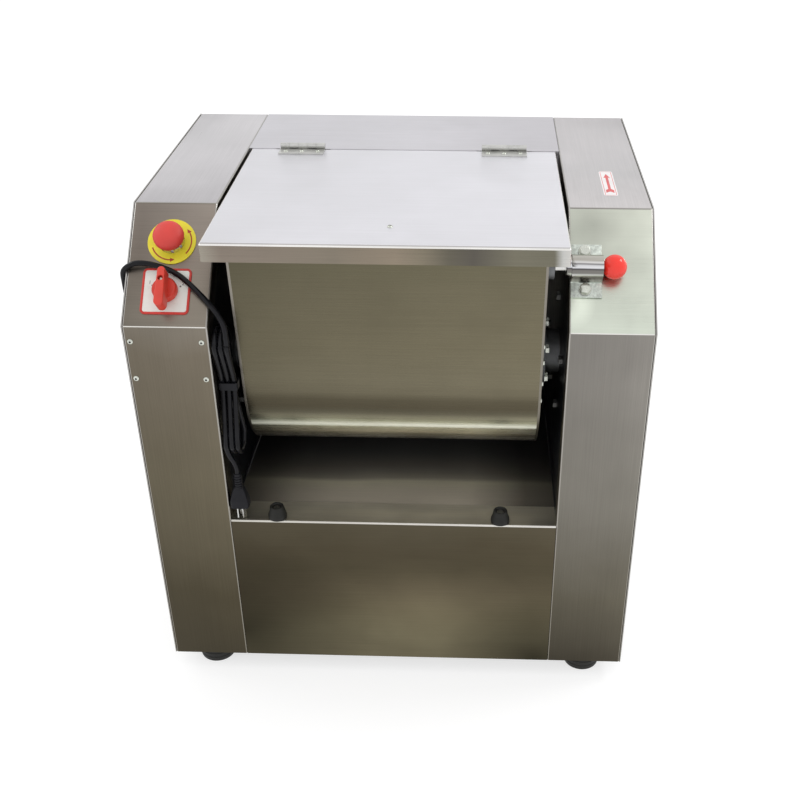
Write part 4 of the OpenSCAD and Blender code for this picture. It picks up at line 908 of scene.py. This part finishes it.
# The ledge is painted pale at its back and dark at its front and ends, as painted light and shade;
# its pale back is what the tub's turn mirrors as its bright line.
apron_ledge = steel("apron_ledge", "Y", [
    (-248, (0.23, 0.213, 0.172)), (-238, (0.33, 0.305, 0.248)), (-224, (0.56, 0.52, 0.415)),
    (-203, (0.74, 0.69, 0.56))], across, 0.34, 4, 0.08, 0.08,
    ("X", [(-219, 0.6), (-160, 0.85), (-90, 0.97), (130, 1.0), (219, 0.9)]), 0.03, metallic=0.72)
# The fold is a painted highlight.
apron_fold_painted_highlight = steel("apron_fold_painted_highlight", "X", [(-219, (0.60, 0.58, 0.53)), (219, (0.72, 0.70, 0.66))],
                   across, 0.24)
settle(apron, "body", [apron_front, apron_ledge, apron_fold_painted_highlight], ["front_panel"])
paint_faces(apron, 1, lambda c, n: n.z > 0.97)
paint_faces(apron, 2, lambda c, n: 0.15 < n.z <= 0.97)
soften(apron)

# %% [markdown]
# The deck behind the ledge ends just short of the black side plates. A black bead fills the
# narrow gap on each side as dark fill where there is only shade, so that no light comes up through
# it. It is a side view of the deck's edge, pulled to a thin strip and turned into place. A pale lip
# under the lid's back edge does the same for the gap between the lid and the rear plate.

# %% Bead beside the deck, and the lip behind the lid
turn_to_side = Matrix(((0, 0, 1, 0), (1, 0, 0, 0), (0, 1, 0, 0), (0, 0, 0, 1)))
deck_line = [(-202, 271), (-72, 271), (230, 248.1), (230, 243.5), (-72, 266.5), (-202, 266.5)]
beads = [plate("bead", deck_line, *sorted((side * 219.02, side * 220.4))) for side in (-1, 1)]
deck_bead = lay(join(beads, "deck_bead"), turn_to_side)
lips = [block("lip", (x0, lid_back_y + 0.7, 671.6), (x1, 93.2, 673.3))
        for x0, x1 in ((-214, -181), (-103, 103), (181, 214))]
settle(join(lips, "rear_lip"), "body", rear_top)

# %% [markdown]
# Plastics, rubber and paint come next. They are not metals: their colour barely changes, so a
# fine noise moves it a little, a second one moves the roughness where hands have touched, and a
# small bump keeps a broad face from looking like glass.

# %% Finishes of plastic, rubber and paint


def mottled(tree, value, colour, vary, most=1, lift=0.0):
    """A colour that a noise moves between a darker and a lighter one."""
    low = [part * (1 - vary) for part in colour]
    high = [min(most, part * (1 + vary) + lift) for part in colour]
    return ramp(tree, value, [(0.3, low), (0.7, high)])


def coat(name, colour, roughness, vary=0.12, grain=900, depth=0.08, layer=0.0, mirror=0.5):
    material, tree, shader = start_finish(name, 0.0, roughness)
    fine = noise(tree, (grain, grain, grain), 3, 0.6)
    wide = noise(tree, (45, 45, 45), 3, 0.6, (0.2, 0.9, 0.4))
    feed(tree, shader, {
        "Specular IOR Level": mirror, "Coat Weight": layer, "Coat Roughness": 0.12,
        "Base Color": mottled(tree, wide, colour, vary, lift=0.004),
        "Roughness": times(tree, spread(tree, fine, 0.94, 1.06),
                           spread(tree, wide, roughness * 0.85, roughness * 1.15)),
        "Normal": bump_from(tree, fine, depth, 0.0003)})
    return material


# The bead is black as dark fill where the gap shows only shade.
shade_fill_black = coat("shade_fill_black", (0.012, 0.012, 0.014), 0.6, 0.2, 900, 0.15)
settle(deck_bead, "body", shade_fill_black)
cord_sheath = coat("cord_sheath", (0.005, 0.005, 0.007), 0.14, 0.15, 500, 0.03, 0.0, 0.2)
moulded_black = coat("moulded_black", (0.009, 0.009, 0.012), 0.36, 0.2, 1200, 0.12, 0.0, 0.18)
black_rubber = coat("black_rubber", (0.017, 0.017, 0.015), 0.55, 0.2, 800, 0.2, 0.0, 0.22)
black_paint = coat("black_paint", (0.005, 0.006, 0.008), 0.36, 0.3, 500, 0.15)
frame_paint = coat("frame_paint", (0.03, 0.03, 0.031), 0.5, 0.3, 400, 0.25)
red_gloss = coat("red_gloss", (0.92, 0.032, 0.018), 0.12, 0.05, 300, 0.02, 0.1)
red_matte = coat("red_matte", (0.67, 0.05, 0.04), 0.5, 0.05, 1500, 0.08)
red_lever = coat("red_lever", (0.68, 0.045, 0.025), 0.34, 0.06, 900, 0.05)
red_frame = coat("red_frame", (0.62, 0.035, 0.025), 0.38, 0.08, 900, 0.05)
ring_yellow = coat("ring_yellow", (0.86, 0.76, 0.035), 0.42, 0.06, 700, 0.04)
mark_red = coat("mark_red", (0.42, 0.045, 0.02), 0.5, 0.1, 900, 0.03)
insert_white = coat("insert_white", (0.80, 0.82, 0.77), 0.3, 0.04, 600, 0.03)
print_grey = coat("print_grey", (0.10, 0.09, 0.09), 0.5, 0.1, 900, 0.03)
label_white = coat("label_white", (0.80, 0.775, 0.775), 0.36, 0.04, 500, 0.03)
label_red = coat("label_red", (0.66, 0.10, 0.10), 0.42, 0.12, 700, 0.03)
motor_paint = coat("motor_paint", (0.045, 0.07, 0.095), 0.42, 0.2, 500, 0.2)
belt_rubber = coat("belt_rubber", (0.015, 0.015, 0.015), 0.7, 0.25, 700, 0.3)

# %% [markdown]
# Bright turned steel, zinc plating and cast iron are metals again, with their own small marks:
# rings of grain on turned bars, a mottled spangle on zinc, and a dull speckle on castings.

# %% Finishes of bars, zinc and castings


def metal_skin(name, colour, roughness, vary, scale, bump):
    material, tree, shader = start_finish(name, 1.0, roughness)
    speck = noise(tree, scale, 4, 0.7)
    cloud = noise(tree, (60, 60, 60), 2, 0.6, (0.6, 0.1, 0.8))
    light = spread(tree, cloud, 0.92, 1.08)
    feed(tree, shader, {
        "Base Color": scaled(tree, mottled(tree, speck, colour, vary, most=0.95), light),
        "Roughness": times(tree, spread(tree, speck, roughness * 0.8, roughness * 1.25), light),
        "Normal": bump_from(tree, speck, bump, 0.0004)})
    return material


turned_steel = metal_skin("turned_steel", (0.66, 0.66, 0.64), 0.24, 0.08, (900, 60, 60), 0.08)
bolt_steel = metal_skin("bolt_steel", (0.62, 0.64, 0.58), 0.24, 0.14, (500, 500, 500), 0.1)
zinc_spangle = metal_skin("zinc_spangle", (0.56, 0.60, 0.55), 0.36, 0.34, (260, 260, 260), 0.2)
cast_iron = metal_skin("cast_iron", (0.20, 0.205, 0.21), 0.5, 0.18, (700, 700, 700), 0.35)
gear_steel = metal_skin("gear_steel", (0.34, 0.34, 0.34), 0.36, 0.12, (300, 60, 300), 0.12)
stirrer_steel = metal_skin("stirrer_steel", (0.58, 0.575, 0.56), 0.3, 0.08, (60, 600, 600), 0.1)
dark_bolt = metal_skin("dark_bolt", (0.13, 0.13, 0.125), 0.35, 0.25, (400, 400, 400), 0.15)
hinge_steel = metal_skin("hinge_steel", (0.57, 0.57, 0.55), 0.3, 0.12, (60, 800, 800), 0.1)
# The tube's tones along its height are painted reflections: bright and dark bands, as a polished
# tube mirrors what is round it.
tube_painted_reflection = steel("tube_painted_reflection", "Z", [
    (611, (0.42, 0.40, 0.37)), (616, (0.16, 0.14, 0.12)), (619.5, (0.30, 0.28, 0.25)),
    (621.5, (0.62, 0.62, 0.60)), (624, (0.20, 0.195, 0.18)), (628, (0.18, 0.17, 0.16)),
    (629.5, (0.06, 0.055, 0.06)), (631, (0.75, 0.75, 0.78)), (633.5, (0.70, 0.70, 0.72)),
    (635, (0.22, 0.21, 0.22)), (636.5, (0.72, 0.71, 0.70)), (638.5, (0.44, 0.42, 0.38)),
    (642, (0.52, 0.51, 0.46))], (9, 700, 700), 0.16, 1.2, 0.08, 0.05)
print("Finishes made:", len(bpy.data.materials))

# %% [markdown]
# The cord gets its sheath, and then its plug is made. The plug's shell is a rounded oblong that
# narrows upwards, pulled up ring by ring, and the ribbed sleeve above it is spun.

# %% Plug
settle(mains_cord, "body", cord_sheath, ["power_cord", "cord_hank"])
plug_tip, plug_low = 273.5, 291.5


def tower(name, outline, rings):
    """An outline pulled up ring by ring: a ring is (height, share of the outline's size)."""
    height, share = rings[0]
    piece = point_chain(name, [(x * share, y * share, height) for x, y in outline])
    with EditMode(piece) as edit:
        edit.everything()
        bpy.ops.mesh.edge_face_add()
        for next_height, next_share in rings[1:]:
            bpy.ops.mesh.extrude_region_move(
                TRANSFORM_OT_translate={"value": (0, 0, (next_height - height) * MM)})
            grow = next_share / share
            bpy.ops.transform.resize(value=(grow, grow, 1), center_override=(0, 0, 0))
            height, share = next_height, next_share
        edit.everything()
        bpy.ops.mesh.normals_make_consistent(inside=False)
    return piece


shell = tower("plug_shell", round_outline(25, 20, 5, 6), [
    (plug_low, 0.92), (plug_low + 0.8, 1), (plug_low + 9.5, 1), (plug_low + 12, 0.965),
    (plug_low + 20, 0.80), (plug_low + 30.5, 0.53), (plug_low + 31, 0.46)])
sleeve_line = [(0, 320), (5.6, 320)]
for rib in range(5):
    z = 321.5 + (rib + 0.5) * 22 / 6
    reach = 5.4 - 0.16 * rib
    sleeve_line += [(reach, z - 0.9), (6.3 - 0.12 * rib, z - 0.5), (6.4 - 0.12 * rib, z + 1.1),
                    (reach - 0.1, z + 1.6)]
sleeve_line += [(4.7, 342.6), (4.3, 343.4), (0, 343.4)]
sleeve = lathe("plug_sleeve", sleeve_line, 48)
plug = lay(join([shell, sleeve], "plug_shell"), place(plug_x, plug_y, 0))
soften(plug, 40)
settle(plug, "body", moulded_black, ["plug_body"])

# %% [markdown]
# The plug's three blades are one blade with rounded tips, copied round the plug's middle.

# %% Plug blades
blade = block("plug_blade", (5, -3.2, plug_tip), (6.6, 3.2, plug_low + 2))
with EditMode(blade) as edit:
    edit.edges(lambda a, b: abs(a.x - b.x) > 1 and max(a.z, b.z) < plug_tip + 0.1)
    bpy.ops.mesh.bevel(offset=1.4 * MM, segments=4, affect="EDGES")
blades = copies_of(blade, "plug_blades",
                   [place(plug_x, plug_y, 0, "Z", angle) for angle in (90, 210, 330)])
soften(blades)
settle(blades, "body", turned_steel)

# %% [markdown]
# Where the cord leaves the left side there is a six-sided nut, a short neck, and a soft relief
# with rings that get smaller downwards. The nut is a six-sided cylinder with a bevel, the neck and
# the relief are spun. The cord is about 1.53 m long, 7 mm thick, and coiled in its hank.

# %% Strain relief
gland_y, gland_z, cord_side_x = -130, 520, -335
nut = round_blank("nut", 24, 5, Matrix(), 6)
apply_modifier(nut, "BEVEL", width=0.7 * MM, segments=2, limit_method="ANGLE")
lay(nut, place(-327.6, gland_y, gland_z, "Y", 90))
neck = lathe("neck", [(0, -4), (8.2, -4), (8.5, -3), (8.5, 8), (7.5, 9.5), (0, 9.5)], 40)
lay(neck, place(-332, gland_y, gland_z, "Y", 90))
relief_line = [(0, 8.5), (3, 8.0), (5.8, 6.2), (7.6, 3.8), (8.5, 0), (8.3, -4)]
for ring in range(7):
    z = -7 - ring * 5
    reach = 8.0 - ring * 0.52
    relief_line += [(reach - 0.9, z + 1.6), (reach, z + 0.9),
                    (reach, z - 1.6), (reach - 1, z - 2.2)]
relief_line += [(4.7, -43), (4.3, -46), (0, -46)]
relief = lathe("relief", relief_line, 40)
lay(relief, place(cord_side_x, gland_y, gland_z))
gland = join([nut, neck, relief], "cord_relief")
soften(gland, 40)
settle(gland, "body", moulded_black, ["cord_gland"])

# %% [markdown]
# The stop button is a mushroom: a dull red head with a soft dome, over a bright slotted collar on
# a yellow ring. The head is spun from its profile. The collar gets notches that a rounded key
# would grip, cut by blanks. Two curved arrows on the ring say which way it turns.

# %% Stop button
head = lathe("stop_cap_head", [
    (0, 30), (6, 29.6), (11, 28.4), (14.8, 26.4), (17.3, 23.8), (18.7, 21), (19.1, 18.5),
    (19.1, 16.4), (18.6, 14.6), (17.4, 14), (13, 14.2), (12.4, 16), (6.3, 16), (6.3, 14.2),
    (0, 14.2)], 72)
lay(head, stop_spot)
soften(head, 50)
settle(head, "stop_cap", red_matte, ["stop_head"])

collar = lathe("stop_collar", [(0, -40), (10.8, -40), (10.8, 1.6), (16, 1.6), (16.4, 2),
                               (16.4, 8), (15.6, 9.6), (6.6, 9.6), (6.6, -20), (0, -20)], 64)
for notch in range(8):
    blank = block("notch_blank", (13.8, -1.7, 3.4), (17, 1.7, 12))
    cut(collar, lay(blank, place(0, 0, 0, "Z", 45 * notch + 12)))
lay(collar, stop_spot)
soften(collar, 30)
settle(collar, "body", turned_steel, ["stop_body"])


def ring_arrow(name, start, sweep):
    """A curved arrow from a start angle through a sweep, both in degrees."""
    end = start + sweep
    point_and_barbs = [polar(27.3, end), polar(24.6, end + 13), polar(21.9, end)]
    return plate(name, arc(25.4, start, end, 18) + point_and_barbs + arc(23.8, end, start, 18),
                 1.45, 1.62)


arrows = join([ring_arrow("arrow_a", 200, 70), ring_arrow("arrow_b", 320, 70)], "ring_arrows")
lay(arrows, stop_spot)
settle(arrows, "body", mark_red)

# %% [markdown]
# The switch has a red frame with round corners round a white insert. The plate is pulled up from
# its rounded outline, its top is inset and pressed down by a little, and the pressed face is the
# insert. Numbers for the three positions and small dots stand on it.

# %% Switch plate
face_plate = plate("switch_frame", round_outline(60, 60, 6), 0, 2)
with EditMode(face_plate) as edit:
    edit.faces(lambda c, n: n.z > 0.9)
    bpy.ops.mesh.inset(thickness=2.6 * MM, use_even_offset=True)
    bpy.ops.mesh.inset(thickness=0.3 * MM, depth=-0.5 * MM, use_even_offset=True)
    edit.edges(lambda a, b: min(a.z, b.z) > 1.9 and min(a.xy.length, b.xy.length) > 29.9)
    bpy.ops.mesh.bevel(offset=0.6 * MM, segments=3, affect="EDGES")
lay(face_plate, switch_spot)
settle(face_plate, "body", [red_frame, insert_white], ["switch_plate"])
paint_faces(face_plate, 1, lambda c, n: n.dot(slope_normal) > 0.99 and 1.2 < above_slope(c) < 1.6)
soften(face_plate, 30)

marks = []
for digits, x, y, size in (("1", -20.5, 11, 6.5), ("0", 9, 20, 5.5), ("2", 20.5, 10, 6.5)):
    let_go()
    bpy.ops.object.text_add()
    digit = bpy.context.active_object
    digit.data.body = digits
    digit.data.size = size * MM
    digit.data.align_x, digit.data.align_y = "CENTER", "CENTER"
    digit.data.extrude = 0.08 * MM
    let_go(digit)
    bpy.ops.object.convert(target="MESH")
    marks.append(lay(bpy.context.active_object, place(x, y, 1.56)))
for x, y in ((-17.2, 7.2), (17.5, 6.4), (0, 19.5)):
    dot = lathe("dot", [(0, 1.4), (1.1, 1.4), (1.1, 1.64), (0, 1.64)], 24)
    marks.append(lay(dot, place(x, y, 0)))
switch_marks = lay(join(marks, "switch_marks"), switch_spot)
settle(switch_marks, "body", print_grey)

# %% [markdown]
# The switch lever has a round foot and a tall grip that narrows to its tip. The grip is pulled up
# from its outline and bevelled, and a small bright screw sits in a hole near its middle.

# %% Switch lever
lever_foot = lathe("lever_foot", [(0, 2.3), (14.9, 2.3), (15.4, 3), (15.4, 9.8), (14, 12), (0, 12)],
                   64)
grip_line = arc(6, 180, 360, 12, 0, -23) + arc(4.7, 0, 180, 12, 0, 16.3)
grip = plate("lever_grip", grip_line, 11, 30)
with EditMode(grip) as edit:
    edit.edges(lambda a, b: min(a.z, b.z) > 29.9)
    bpy.ops.mesh.bevel(offset=1.5 * MM, segments=4, affect="EDGES")
cut(grip, round_blank("drill", 6.6, 12, place(0, 6, 30)))
lever = lay(join([lever_foot, grip], "switch_lever"), switch_spot)
soften(lever, 35)
settle(lever, "knob", red_lever, ["switch_knob"])


def crossed_screw(name, width, high):
    """A round head with a cross in it, standing on Z = 0."""
    r = width / 2
    piece = lathe(name, [(0, -0.2), (r, -0.2), (r, high * 0.35), (r * 0.8, high * 0.8),
                         (r * 0.4, high), (0, high)], 40)
    for angle in (20, 110):
        blank = block("slot", (-r * 0.62, -r * 0.13, high * 0.45), (r * 0.62, r * 0.13, high * 2))
        cut(piece, lay(blank, place(0, 0, 0, "Z", angle)))
    soften(piece, 40)
    return piece


lever_screw = crossed_screw("lever_screw", 6, 2.2)
lay(lever_screw, switch_spot @ place(0, 6, 24.2))
settle(lever_screw, "knob", bolt_steel)

# %% [markdown]
# One crossed screw and one round rivet are enough for all the small heads of the lid and of the
# left casing: each is copied to its places, and the copies are joined into one piece.

# %% Lid screws and rivets
spots = [(side * 142 + step * 22.5, 77.5, 675.4) for side in (-1, 1) for step in (-1, 0, 1)]
screw_places = [place(*spot, "Z", 31 * count) for count, spot in enumerate(spots)]
screw_places.append(place(2.5, -198.5, body_height) @ Matrix.Scale(1.16, 4))
lid_heads = copies_of(crossed_screw("screw", 6, 1.6), "lid_screw_heads", screw_places)
settle(lid_heads, "lid", bolt_steel, ["lid_screws"])

rivet = lathe("rivet", [(0, -1), (3.7, -1), (3.75, 0.2), (3.3, 0.9), (2.3, 1.5), (1.5, 1.6),
                        (1.2, 0.5), (0, 0.4)], 32)
soften(rivet, 50)
spots = [(x, front_y, z) for x in (-316, -228) for z in (540.5, 489)]
rivets = copies_of(rivet, "front_rivets", [place(*spot, "X", 90) for spot in spots])
settle(rivets, "body", [bolt_steel, dark_bolt], ["casing_rivets"])
paint_faces(rivets, 1, lambda c, n: min(math.hypot(c.x - x, c.z - z) for x, y, z in spots) < 1.4)

# %% [markdown]
# The lock pin runs in a bright tube that a zinc plated saddle holds on the right slope. The saddle
# is one strip: a tab below, a round back over the tube, and a tab above, drawn as a line from the
# side, pulled across, and given its thickness.

# %% Latch saddle and tube
latch_down, latch_out, saddle_x0, saddle_wide = 86, 15.5, 220.7, 38
tab_line = [(35, 1.5), (17.5, 1.5), (15.2, 2.2), (14.1, 4.2), (13.6, 8)]
side_line = [(-y, z) for y, z in tab_line] + arc(13.6, 180, 0, 24, 0, latch_out - 0.8)
side_line += reversed(tab_line)
saddle = point_chain("latch_saddle", [(0, y, z) for y, z in side_line])
with EditMode(saddle) as edit:
    edit.everything()
    bpy.ops.mesh.extrude_edges_move(TRANSFORM_OT_translate={"value": (saddle_wide * MM, 0, 0)})
    edit.edges(lambda a, b: abs(a.x - b.x) > 30 and abs(a.y) > 34.9)
    bpy.ops.mesh.subdivide(number_cuts=1)
apply_modifier(saddle, "SOLIDIFY", thickness=2 * MM, offset=0, use_even_offset=True)
apply_modifier(saddle, "BEVEL", width=0.4 * MM, segments=2, limit_method="ANGLE",
               angle_limit=math.radians(60))
lay(saddle, on_slope(saddle_x0, latch_down))
tube = lathe("latch_tube", [(6.4, 0), (11.4, 0), (12.3, 0.9), (12.3, 43.8), (11.6, 44.7),
                            (6.4, 44.7), (6.4, 0)], 72)
lay(tube, on_slope(214, latch_down, latch_out) @ place(0, 0, 0, "Y", 90))
settle(saddle, "body", [zinc_spangle, tube_painted_reflection], ["latch_bracket"])
# The saddle's round back gets the tube's painted reflections.
paint_faces(saddle, 1, lambda c, n: abs((c - slope_edge).dot(up_slope) + latch_down) < 14.9)
soften(saddle, 40)
soften(tube, 40)
settle(tube, "body", tube_painted_reflection)

# %% [markdown]
# Two bolts hold the saddle. A bolt is a six-sided head with a bevelled top on a washer, made once
# and copied to both tabs with a different turn.

# %% Latch bolts
bolt_head = round_blank("bolt_head", 14, 5.4, place(0, 0, 6.9), 6)
with EditMode(bolt_head) as edit:
    edit.faces(lambda c, n: n.z > 0.9)
    bpy.ops.mesh.inset(thickness=1.0 * MM, depth=0.5 * MM)
washer = lathe("washer", [(0, 2.6), (7.8, 2.6), (8, 2.9), (8, 4.0), (7.7, 4.3), (0, 4.3)], 48)
bolt = join([bolt_head, washer], "latch_bolt")
soften(bolt, 30)
latch_heads = copies_of(bolt, "latch_bolt_heads",
                        [on_slope(238, latch_down + 25) @ place(0, 0, 0, "Z", 20),
                         on_slope(238, latch_down - 25) @ place(0, 0, 0, "Z", 12)])
settle(latch_heads, "body", [bolt_steel, gear_steel], ["latch_bolts"])
# The washers are painted darker, as painted shade round the heads.
paint_faces(latch_heads, 1, lambda c, n: above_slope(c) < 4.2)

# %% [markdown]
# A small white label with a red arrow lies on the right casing's top. It carries no words: a thin
# red line runs round its edge and the arrow points back, with a notched tail.

# %% Arrow label
label_wide, label_long, label_x, label_y = 18, 93, 276, -37.2
edge_in, edge_wide = 1.6, 0.7
label = plate("arrow_label", round_outline(label_wide, label_long, 4, 6), 0, 0.3)
with EditMode(label) as edit:
    edit.faces(lambda c, n: n.z > 0.9)
    bpy.ops.mesh.inset(thickness=edge_in * MM, use_even_offset=True)
    bpy.ops.mesh.inset(thickness=edge_wide * MM, use_even_offset=True)
lay(label, place(label_x, label_y, body_height))
settle(label, "body", [label_white, label_red])


def label_edge(c, n):
    """True on the narrow line between the two insets."""
    inwards = min(label_wide / 2 - abs(c.x - label_x), label_long / 2 - abs(c.y - label_y))
    return n.z > 0.9 and edge_in < inwards < edge_in + edge_wide


paint_faces(label, 1, label_edge)
shaft = [(-1.7, -22), (-1.7, 22), (-4.4, 20), (0, 36), (4.4, 20), (1.7, 22), (1.7, -22),
         (5.2, -26), (5.2, -36), (0, -31), (-5.2, -36), (-5.2, -26)]
arrow = plate("label_arrow", shaft, 0.28, 0.42)
lay(arrow, place(label_x, label_y, body_height))
settle(arrow, "body", label_red)

# %% [markdown]
# The tub rests on two rubber bumpers when it is tipped, and the machine stands on four rubber
# feet. Both are spun from a profile with a cup for their bolt, and copied.

# %% Bumpers and feet
bumper = lathe("bumper", [(0, 0), (11.6, 0), (12.3, 1), (12.6, 3.2), (12.2, 6.4), (10.8, 10),
                          (9.9, 14), (9.3, 17.4), (8.6, 18.4), (7.2, 18.6), (6.2, 17.8),
                          (5.7, 16), (5.5, 11), (0, 11)], 56)
soften(bumper, 40)
bumpers = copies_of(bumper, "tub_bumpers",
                    [place(x, -238.5, ledge_height) for x in (-157, 144)])
settle(bumpers, "body", black_rubber, ["tilt_bumpers"])

foot = lathe("foot", [(0, 12), (11.6, 12), (12, 11.4), (12, 0.6), (12.8, 0), (23.6, 0), (24.8, 1),
                      (25.4, 3), (26.2, 8), (25.6, 9), (25.8, 10.4), (27.0, 11.4), (27.9, 17),
                      (27.2, 18), (27.4, 19.4), (28.6, 20.4), (29.6, 28.6), (29, 30), (0, 30)], 64)
soften(foot, 40)
feet = copies_of(foot, "ribbed_feet",
                 [place(x, y, 0) for x in (-272, 272) for y in (-210.5, 222.5)])
settle(feet, "body", black_rubber, ["rubber_feet"])

# %% [markdown]
# On the tub's right end a row of small round bolts follows its front edge. They are copies of one
# spun head with a bevelled rim.

# %% Bolts on the tub's end
head = lathe("end_bolt", [(0, -0.5), (3.6, -0.5), (3.8, 0.4), (3.7, 2.2), (3, 2.9), (0, 3)], 32)
soften(head, 40)
spots = [(-203, 519), (-206, 498), (-201, 465), (-191, 434)]
end_bolts = copies_of(head, "tub_end_bolts", [place(192, *spot, "Y", 90) for spot in spots])
settle(end_bolts, "trough", bolt_steel)

# %% [markdown]
# All other pieces keep their measured shape, as it is the real one already, and get a finish.
# Their meshes aren't changed: they only shade smoothly between close faces, and a live weld and
# edge split keep their sharp edges sharp.

# %% Dress the measured nodes


def dress(node, finish):
    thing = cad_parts[node]
    for held in thing.material_slots:
        held.material = finish
    for face in thing.data.polygons:
        face.use_smooth = True
    weld = thing.modifiers.new("weld", "WELD")
    weld.merge_threshold = 0.005 * MM
    split = thing.modifiers.new("split", "EDGE_SPLIT")
    split.split_angle = math.radians(32)


# The deck's tones are painted light and shade: a pale band behind the ledge where light falls in,
# dark under the tub towards the back, and darker beside the side plates.
deck_painted_light_and_shade = steel("deck_painted_light_and_shade", "Y", [
    (-203, (0.53, 0.475, 0.39)), (-168, (0.63, 0.57, 0.46)), (-142, (0.76, 0.71, 0.54)),
    (-132, (0.46, 0.42, 0.34)), (-118, (0.35, 0.32, 0.265)), (-98, (0.26, 0.24, 0.205)),
    (-60, (0.16, 0.155, 0.145)), (0, (0.09, 0.09, 0.09)), (258, (0.05, 0.05, 0.05))],
    across, 0.45, 4, 0.08, 0.06,
    ("X", [(-219, 0.25), (-190, 0.36), (-140, 0.74), (-90, 0.88), (0, 1.0), (105, 1.0),
           (145, 0.66), (178, 0.34), (219, 0.24)]), metallic=0.45)
tub_end_steel = steel("tub_end_steel", "Z", [(330, (0.20, 0.185, 0.15)), (645, (0.26, 0.24, 0.21))],
                      upright, 0.34)
dressing = {
    "base_frame": frame_paint, "foot_and_bumper_bolts": dark_bolt,
    "left_side_cover": side_steel, "right_side_cover": side_steel, "cover_screws": bolt_steel,
    "left_side_plate": black_paint, "right_side_plate": black_paint,
    "side_plate_bolts": dark_bolt, "deck_plate": deck_painted_light_and_shade, "back_panel": back_steel,
    "rear_top_plate": rear_top, "bearing_housings": cast_iron, "countershaft_bearing": cast_iron,
    "drive_belt": belt_rubber, "motor_housing": motor_paint, "motor_end_shields": motor_paint,
    "motor_fan_cover": motor_paint, "motor_base": frame_paint, "terminal_box": moulded_black,
    "hinge_fixed_leaves": hinge_steel, "stop_ring": ring_yellow, "switch_body": moulded_black,
    "trough_ends": tub_end_steel, "trunnions": cast_iron, "trunnion_bolts": bolt_steel,
    "latch_lug": cast_iron, "stirrer": stirrer_steel, "drive_shaft": turned_steel,
    "idler_shaft": turned_steel, "bull_gear": gear_steel, "countershaft": turned_steel,
    "pinion_gear": gear_steel, "driven_pulley": cast_iron, "motor_rotor": turned_steel,
    "motor_fan": moulded_black, "motor_pulley": cast_iron, "hinge_lid_leaves": hinge_steel,
    "lock_pin": turned_steel, "lock_ball": red_gloss, "stop_stem": turned_steel,
    "cord_tie": moulded_black}
for node, finish in dressing.items():
    dress(node, finish)
print("Measured nodes dressed:", len(dressing))
